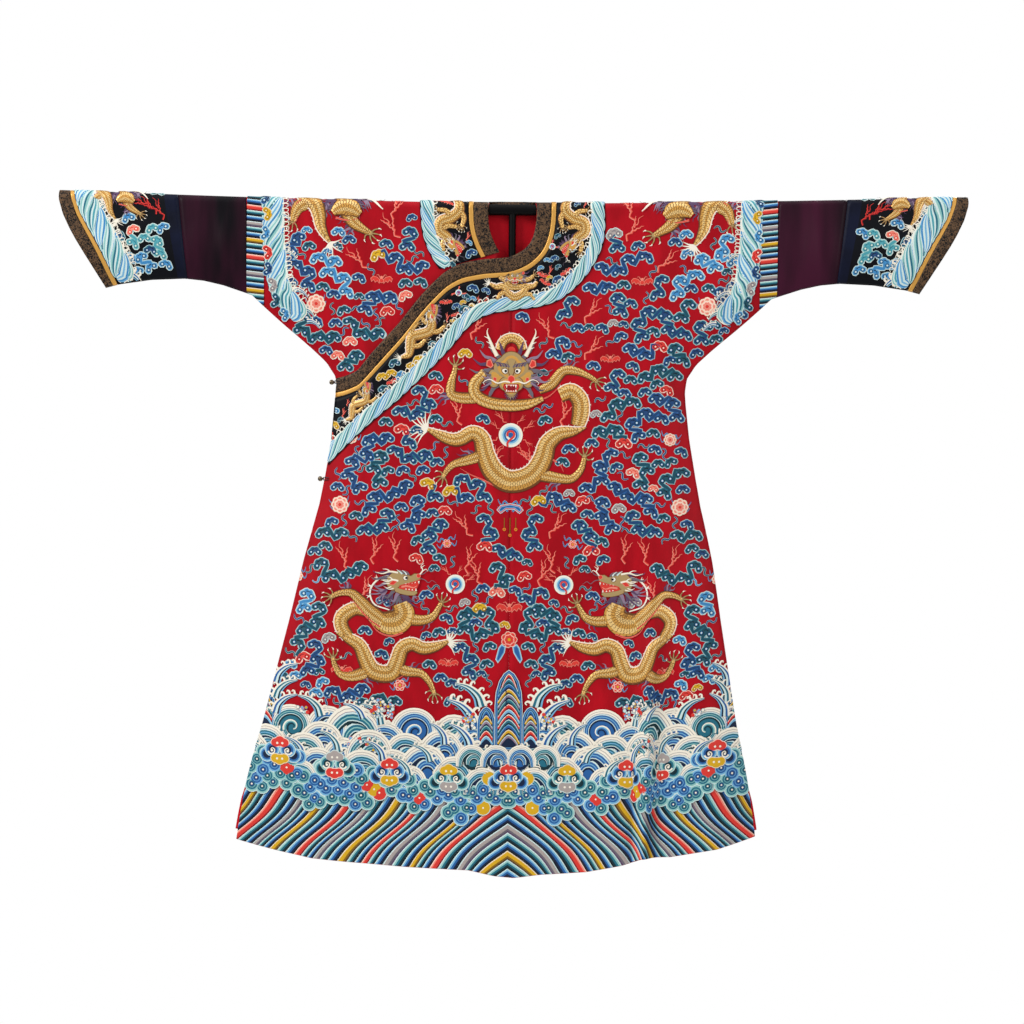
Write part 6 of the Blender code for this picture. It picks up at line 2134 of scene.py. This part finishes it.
class ROBE_OT_stripes(bpy.types.Operator):
    """Stitches the slanting stripes above both hems"""
    bl_idname = "robe.stripes"
    bl_label = "Hem stripes"

    def execute(self, context):
        hang(stripes(FRONT_HEM), "stripes_front", "red_satin")
        hang(stripes(BACK_HEM), "stripes_back", "red_satin", -1)
        return {"FINISHED"}


class ROBE_OT_sea(bpy.types.Operator):
    """Stitches the sea with its rocks, and the massed clouds below it, on both faces"""
    bl_idname = "robe.sea"
    bl_label = "Sea and cloud banks"

    def execute(self, context):
        sea, banks = waves(), cloud_banks()
        for face, name in ((1, "front"), (-1, "back")):
            hang(sea, "sea_" + name, "red_satin", face)
            hang(banks, "cloud_banks_" + name, "red_satin", face)
        return {"FINISHED"}


def robe_dragons(front):
    """The dragons of one face: one facing dragon with two striding below it, and those over
    the shoulders, which belong to the front."""
    art = Needlework()
    art.stamp(coiling_dragon(), 0.0, -0.489 if front else -0.430)
    strider, coiled = striding_dragon(), shoulder_dragon()
    for way in (-1, 1):
        art.stamp(strider, way * 0.236, -0.867, flip=way > 0)
        if front:
            art.stamp(coiled, way * 0.400, 0.0, flip=way > 0)
        else:
            art.taken += [(way * x, -0.035, 0.055) for x in (0.31, 0.36, 0.42)]
    return art


def symbols(front):
    """Bats, flowers, ribbons, flames, a stone chime and a pair of fish among the clouds."""
    art = Needlework()
    red, knot, tongue = bat(), ribbons(), flame(0.062)
    flower = blossom()
    rose = blossom(8, ("cream", "rose", "pink"), 12.0, "coral")
    for x, s, size in ((0.0, 0.850, 1.3), (-0.125, 0.965, 1.0), (-0.345, 0.985, 1.1),
                       (-0.205, 0.335, 1.0), (-0.430, 0.700, 1.0), (-0.27, 0.175, 1.1)):
        for way in ((1, -1) if x else (1,)):
            art.stamp(red, x * way, -s, 0.0, size, rise=0.0003)
    for x, s, motif, size in ((-0.352, 0.640, rose, 1.5), (-0.440, 0.790, rose, 1.0),
                              (-0.330, 0.500, rose, 1.1), (-0.225, 1.010, flower, 1.1),
                              (-0.405, 0.225, rose, 1.6), (-0.130, 0.715, flower, 0.8)):
        for way in (1, -1):
            art.stamp(knot, x * way, -s, 0.2 * way, 1.0, rise=0.0002)
            art.stamp(motif, x * way, -s, 0.0, size, rise=0.0006)
    for x, s, turn in ((-0.250, 0.045, -0.3), (-0.235, 0.085, 0.6), (-0.335, 0.775, 0.3),
                       (-0.285, 0.760, -0.2), (-0.235, 0.755, 0.1), (-0.090, 0.775, -0.2),
                       (-0.150, 0.330, 0.7), (0.150, 0.255, -0.6), (-0.060, 0.800, 0.3),
                       (-0.300, 0.150, 0.8), (-0.085, 0.290, -0.5), (-0.105, 0.470, 0.2),
                       (-0.052, 0.560, -0.6), (-0.080, 0.700, 0.6), (-0.310, 0.840, -0.4)):
        for way in (1, -1):
            if not front or x < 0 or way > 0:
                art.stamp(tongue, x * way, -s, turn * way, rise=0.0002)
    art.stamp(knot, 0.0, -0.640, 0.0, 1.2, rise=0.0002)
    chime = [(-28, 4), (-20, 14), (0, 18), (20, 14), (28, 4), (20, -4), (8, 5), (-8, 5),
             (-20, -4)]
    fish = [(-9, -2), (-7, -14), (0, -26), (7, -36), (12, -28), (9, -16), (6, -4), (0, 4)]
    shapes(art, ((
        ([(x, y - 648) for x, y in chime],
         (("ice", 1.2, 0.3), ("coral", 1.6, 0.2), ("sky", 1.6, 0.2), ("blue",)), 0.9),
        *[([(way * (x + 16), y - 925) for x, y in fish],
           (("ice", 1.0, 0.3), ("sky", 2.0, 0.3), ("blue",)), 0.9) for way in (1, -1)],
    )))
    for x, length in ((-12, 22), (0, 34), (12, 22)):
        art.cord(mm((x, -660), (x, -660 - length)), 1.6 * MM, "ochre", 0.6 * MM, 5)
        art.disc(x * MM, (-662 - length) * MM, 3.4 * MM,
                 (("yellow", 1 * MM, 0.2 * MM), ("coral",)), 0.8 * MM, 8)
    art.stamp(blossom(7, ("rose", "pink", "coral"), 17.0), 0.0, -0.912, rise=0.0010)
    art.taken += [(0, -0.94, 0.030), (0, -0.66, 0.032), (0, -0.70, 0.02)]
    return art


class ROBE_OT_dragons(bpy.types.Operator):
    """Stitches the gold dragons, the symbols and the cloud chains on both faces"""
    bl_idname = "robe.dragons"
    bl_label = "Dragons, symbols and clouds"

    def execute(self, context):
        sea = waves()
        for face, name in ((1, "front"), (-1, "back")):
            front = face > 0
            dragons, charms = robe_dragons(front), symbols(front)
            taken = dragons.taken + charms.taken + sea.taken
            hang(robe_clouds(front, taken, 5 if front else 9), "clouds_" + name, "red_satin", face)
            hang(charms, "symbols_" + name, "red_satin", face, keep=clear_of_collar(front))
            hang(dragons, "dragons_" + name, "red_satin", face)
        return {"FINISHED"}


def clear_of_collar(front):
    """Keeps needlework off the collar."""
    over, under, _, _ = facing_outlines()

    def keep(x, s):
        if not front:
            return np.ones(x.shape, dtype=bool)
        return ~(inside_outline(over, x, s) | inside_outline(under, x, s))
    return keep


def collar_art(under):
    """Dragons, clouds and pearls on the black facing, with the wave rope on its edge."""
    over_line, under_line, outer, back = facing_outlines()
    outline = under_line if under else over_line
    edge = outer[:back + 1] if under else outer[back:]
    art = wave_rope(np.stack((edge[:, 0], -edge[:, 1]), axis=-1)[::-1])
    twisting = small_dragon(((-52, 14), (-44, -8), (-22, -18), (0, -4), (14, 16), (34, 14),
                             (44, -6), (54, -18)))
    running = small_dragon(((-74, -6), (-56, -14), (-38, -2), (-20, 10), (0, 0), (20, -8), (38, 2),
                            (48, 14)))
    rope_taken = [(x, -s, 0.020) for x, s in edge[::2]]
    inner = np.array([edges[1] for _, edges in band_lines(1)])
    inner = inner[:back + 1] if under else inner[back:]
    rope_taken += [(x, -s, 0.002) for x, s in inner[::2]]
    if under:
        places = ((twisting, -0.130, -0.040, 1.35, 0.92, True),
                  (running, -0.125, 0.080, 1.9, 0.8, False))
        pearls = ((-0.083, 0.098),)
    else:
        places = ((twisting, 0.130, -0.040, -1.35, 0.92, False),
                  (running, 0.125, 0.080, -1.9, 0.8, True),
                  (facing_dragon(), 0.006, -0.178, 0.0, 0.86, False),
                  (running, -0.186, -0.284, 0.78, 0.86, False),
                  (running, -0.312, -0.430, 0.80, 0.6, False),
                  (running, -0.080, 0.100, 2.6, 0.7, False))
        pearls = ((0.083, -0.098), (-0.110, -0.196), (0.062, 0.090))
    for dragon, x, y, turn, size, flip in places:
        art.stamp(dragon, x, y, turn, size, flip, 0.0004)
    taken = art.taken + rope_taken
    for x, y in pearls:
        pearl = flaming_pearl(7 * MM, (-1.8, 0.0, 1.7))
        art.stamp(pearl, x, y, rise=0.0003)
        taken.append((x, y, 0.010))
    rng = np.random.default_rng(31 + under)
    heads = {kind: cloud_head(kind) for kind in ("blue", "teal", "bright", "yellow", "coral")}
    red, tongue = bat(), flame(0.026)
    taken = np.array(taken)
    lo, hi = outline.min(axis=0), outline.max(axis=0)
    for attempt in range(4200):
        x, s = rng.uniform(lo[0], hi[0]), rng.uniform(lo[1], hi[1])
        radius = (0.0105, 0.0080, 0.0060)[min(attempt // 1100, 2)]
        if not inside_outline(outline, x, s) or not free(taken, x, -s, radius):
            continue
        turn = rng.uniform(-0.7, 0.7)
        pick = rng.integers(12)
        scale = radius / 0.0125
        if pick in (0, 5):
            art.stamp(red, x, -s, turn, scale, rise=0.0003)
        elif pick in (1, 7):
            art.stamp(tongue, x, -s - 0.010, turn, scale * 1.3, rise=0.0003)
        else:
            kind = ("blue", "teal", "bright", "teal",
                    "blue", "bright", "yellow", "coral")[pick % 8]
            art.stamp(heads[kind], x, -s, turn, scale, rise=0.0003)
        taken = np.vstack((taken, (x, -s, radius * 0.86)))
    return art, outline


BAND_LIFT = 2 * (HALF_WALL + LAYER_GAP + TRIM_WALL)      # the facing's outer face as a wall


class ROBE_OT_collar_work(bpy.types.Operator):
    """Stitches the collar's facing"""
    bl_idname = "robe.collar_work"
    bl_label = "Collar embroidery"

    def execute(self, context):
        for under, name, layer in ((True, "under", COLLAR), (False, "over", LAP)):
            art, outline = collar_art(under)
            hang(art, "collar_work_" + name, "black_satin", 1, layer, wall=BAND_LIFT,
                 keep=lambda x, s, line=outline: inside_outline(line, x, s))
        return {"FINISHED"}


CUFF_PLAIN = 0.024          # width of the cuff's navy strip at the fold
CUFF_PLAIN_TAPER = 0.05     # and how much it loses with depth
CUFF_SEAM_DEPTH = 0.18      # depth over which the strip's seam leans
CUFF_WORK_FROM = 0.020      # stitching starts this far from the cuff's seam
CUFF_WORK_TO = 0.001        # and stops this far before its braid
CUFF_CLOUD_FROM = 0.036
CUFF_CLOUD_RIM = 0.017      # clouds keep this far off the sleeve's underside
CUFF_CLOUD_ROOM = 0.0104


def hang_on_arms(art, name, slot, layer, **options):
    """Hangs needlework that is drawn for the +X arm there, and its mirror image opposite."""
    for side, arm in ((-1, "right"), (1, "left")):
        turned = Needlework()
        turned.stamp(art, flip=side < 0)
        hang(turned, name + arm, slot, 1, layer, **options)


def cuff_art():
    """A dragon over the fold, waves by the braid, and clouds. Drawn for the robe's +X cuff."""
    art = Needlework()
    shares = np.linspace(0.02, 0.97, 12)
    depth = 0.195
    for k, share in enumerate(shares):
        for way in (-1, 1):
            edge = float(braid_edge(share)) - 0.004
            size = (38, 50, 32)[k % 3]
            art.stamp(foam_plume(size, ("blue", "teal")[k % 2], 5), edge - 0.003,
                      -way * share * depth, 1.25 if way > 0 else 1.75, flip=way < 0,
                      rise=0.0004 * (k % 4))
    art.taken += [(float(braid_edge(share)) - 0.010, -way * share * depth, 0.026)
                  for share in np.linspace(0, 1, 14) for way in (-1, 1)]
    run = np.linspace(-0.97, 0.97, 24)
    hem = np.stack((braid_edge(np.abs(run)) + 0.005, run * depth), axis=-1)
    art.stamp(wave_rope(hem, 0.050, 0.017, 0.036), rise=0.0010)
    art.stamp(shoulder_dragon(), 0.838, -0.004, 0.0, 0.62, True, 0.0004)
    taken = np.array(art.taken)
    rng = np.random.default_rng(3)
    heads = {kind: cloud_head(kind) for kind in CLOUD_KINDS}
    red, tongue = bat(), flame(0.050, ("crimson", "coral"))
    for k, x in enumerate((0.722, 0.737, 0.752)):
        art.stamp(tongue, x, -0.060 + 0.012 * k, -0.5 - 0.3 * k)
    taken = np.vstack((taken, (0.735, -0.045, 0.024)))
    for attempt in range(9000):
        length = int(rng.integers(1, 4)) if attempt < 3000 else 1
        x, y = rng.uniform(0.700, 0.890), rng.uniform(-0.185, 0.185)
        heading = rng.uniform(0, tau)
        kind = ("bright", "sea", "sea", "bright", "mixed")[rng.integers(5)]
        chain = wander(rng, (x, y), heading, length, (0.7, 1.4), (0.030, 0.028))
        if not all(free(taken, cx, cy, CUFF_CLOUD_ROOM)
                   and abs(cy) < read(SLEEVE_UNDER, cx) - CUFF_CLOUD_RIM
                   and cx > float(cuff_seam(abs(cy) / depth)) + CUFF_CLOUD_FROM
                   for cx, cy in chain):
            continue
        for a, b in zip(chain, chain[1:]):
            cloud_stem(art, a, b, kind, 0.25)
        for k, (cx, cy) in enumerate(chain):
            accent = ("yellow", "coral", "pink")[rng.integers(3)]
            motif = heads[accent if rng.integers(8) == 0 else kind]
            if length == 1 and attempt % 37 == 0:
                motif = red
            art.stamp(motif, cx, cy, rng.uniform(-0.7, 0.7) + pi * (cy > 0), 1.0,
                      rise=LINK_RISE * (k + 1))
        taken = np.vstack((taken, [(cx, cy, CUFF_CLOUD_ROOM) for cx, cy in chain]))
    return art


class ROBE_OT_cuff_work(bpy.types.Operator):
    """Stitches both cuffs, round the fold and down both faces"""
    bl_idname = "robe.cuff_work"
    bl_label = "Cuff embroidery"

    def execute(self, context):
        art = cuff_art()

        def keep(x, s):
            depth = read(SLEEVE_UNDER, np.abs(x))
            share = np.abs(s) / depth
            inner = cuff_seam(share) + CUFF_WORK_FROM
            return ((np.abs(x) > inner) & (np.abs(x) < braid_edge(share) - CUFF_WORK_TO)
                    & (share < 0.975))

        hang_on_arms(art, "cuff_work_", "black_satin", PANEL, wall=CUFF_WALL, keep=keep)
        return {"FINISHED"}


def sleeve_end_art():
    """Ribbed stripes, cloud heads and waves beside the sleeve seam, drawn for +X."""
    art = Needlework()
    order = ("yellow", "blue", "teal", "stone", "blue", "teal", "coral", "blue", "teal")
    pitch = 0.0114
    count = 21
    for k in range(-count, count):
        y0 = k * pitch
        right = [(0.5500 - 0.036 * t, y0 + pitch * 0.96 - 0.0035 * t)
                 for t in (0, 0.33, 0.66, 1)]
        left = [(x, y - pitch * 0.96) for x, y in right]
        threads = STRIPE_THREADS[order[k % 9]]
        art.between(np.array(left), np.array(right),
                    [(-a, h * 0.8) for a, h in ROLL_LANES[::-1]], threads[::-1])
    run = np.linspace(-0.262, 0.262, 27)
    foot = np.interp(np.abs(run), (0, 0.10, 0.18, 0.22, 0.262),
                     (0.523, 0.519, 0.510, 0.496, 0.462))
    art.stamp(wave_rope(np.stack((foot, run), axis=-1), 0.050, 0.019, 0.036), rise=0.0010)
    for way in (-1, 1):
        for k, (x, s, kind, size) in enumerate((
                (0.512, 0.008, "blue", 1.0), (0.508, 0.042, "yellow", 0.95),
                (0.512, 0.082, "bright", 1.0), (0.507, 0.122, "coral", 1.0),
                (0.506, 0.156, "blue", 0.95), (0.496, 0.188, "grey", 1.0),
                (0.490, 0.220, "teal", 1.0), (0.470, 0.248, "bright", 0.95))):
            art.stamp(cloud_head(kind), x, -way * s, 1.57 + 0.2 * (-1) ** k, size, rise=0.0040)
        for k, (x, s, size) in enumerate((
                (0.470, 0.045, 22), (0.462, 0.120, 24), (0.440, 0.198, 26),
                (0.425, 0.238, 26), (0.412, 0.262, 24))):
            art.stamp(foam_plume(size, ("blue", "teal")[k % 2], 5), x + 0.012, -way * s,
                      1.3 * way, flip=way < 0, rise=0.0010)
    return art


class ROBE_OT_sleeve_work(bpy.types.Operator):
    """Stitches the striped bands at the sleeve seams"""
    bl_idname = "robe.sleeve_work"
    bl_label = "Sleeve-end embroidery"

    def execute(self, context):
        art = sleeve_end_art()

        def keep(x, s):
            run = np.abs(s)
            seam = sleeve_seam(run / SLEEVE_SEAM_DEPTH) - 0.0006
            return (np.abs(x) < np.where(run < SLEEVE_SEAM_DEPTH, seam, read(SIDE, run) - 0.002))

        hang_on_arms(art, "sleeve_band_", "red_satin", SHOWN, keep=keep)
        return {"FINISHED"}


OPERATORS = (ROBE_OT_silk, ROBE_OT_collar, ROBE_OT_sleeves, ROBE_OT_hardware, ROBE_OT_stripes,
             ROBE_OT_sea, ROBE_OT_dragons, ROBE_OT_collar_work, ROBE_OT_cuff_work,
             ROBE_OT_sleeve_work, ROBE_OT_stage)


CLASSES = (RobeSettings, *OPERATORS, ROBE_PT_panel)


def register():
    for made in CLASSES:
        bpy.utils.register_class(made)
    bpy.types.Scene.robe = PointerProperty(type=RobeSettings)


def unregister():
    del bpy.types.Scene.robe
    for made in reversed(CLASSES):
        bpy.utils.unregister_class(made)


def main():
    register()
    for operator in OPERATORS:
        group, name = operator.bl_idname.split(".")
        getattr(getattr(bpy.ops, group), name)()
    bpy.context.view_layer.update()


if __name__ == "__main__":
    main()
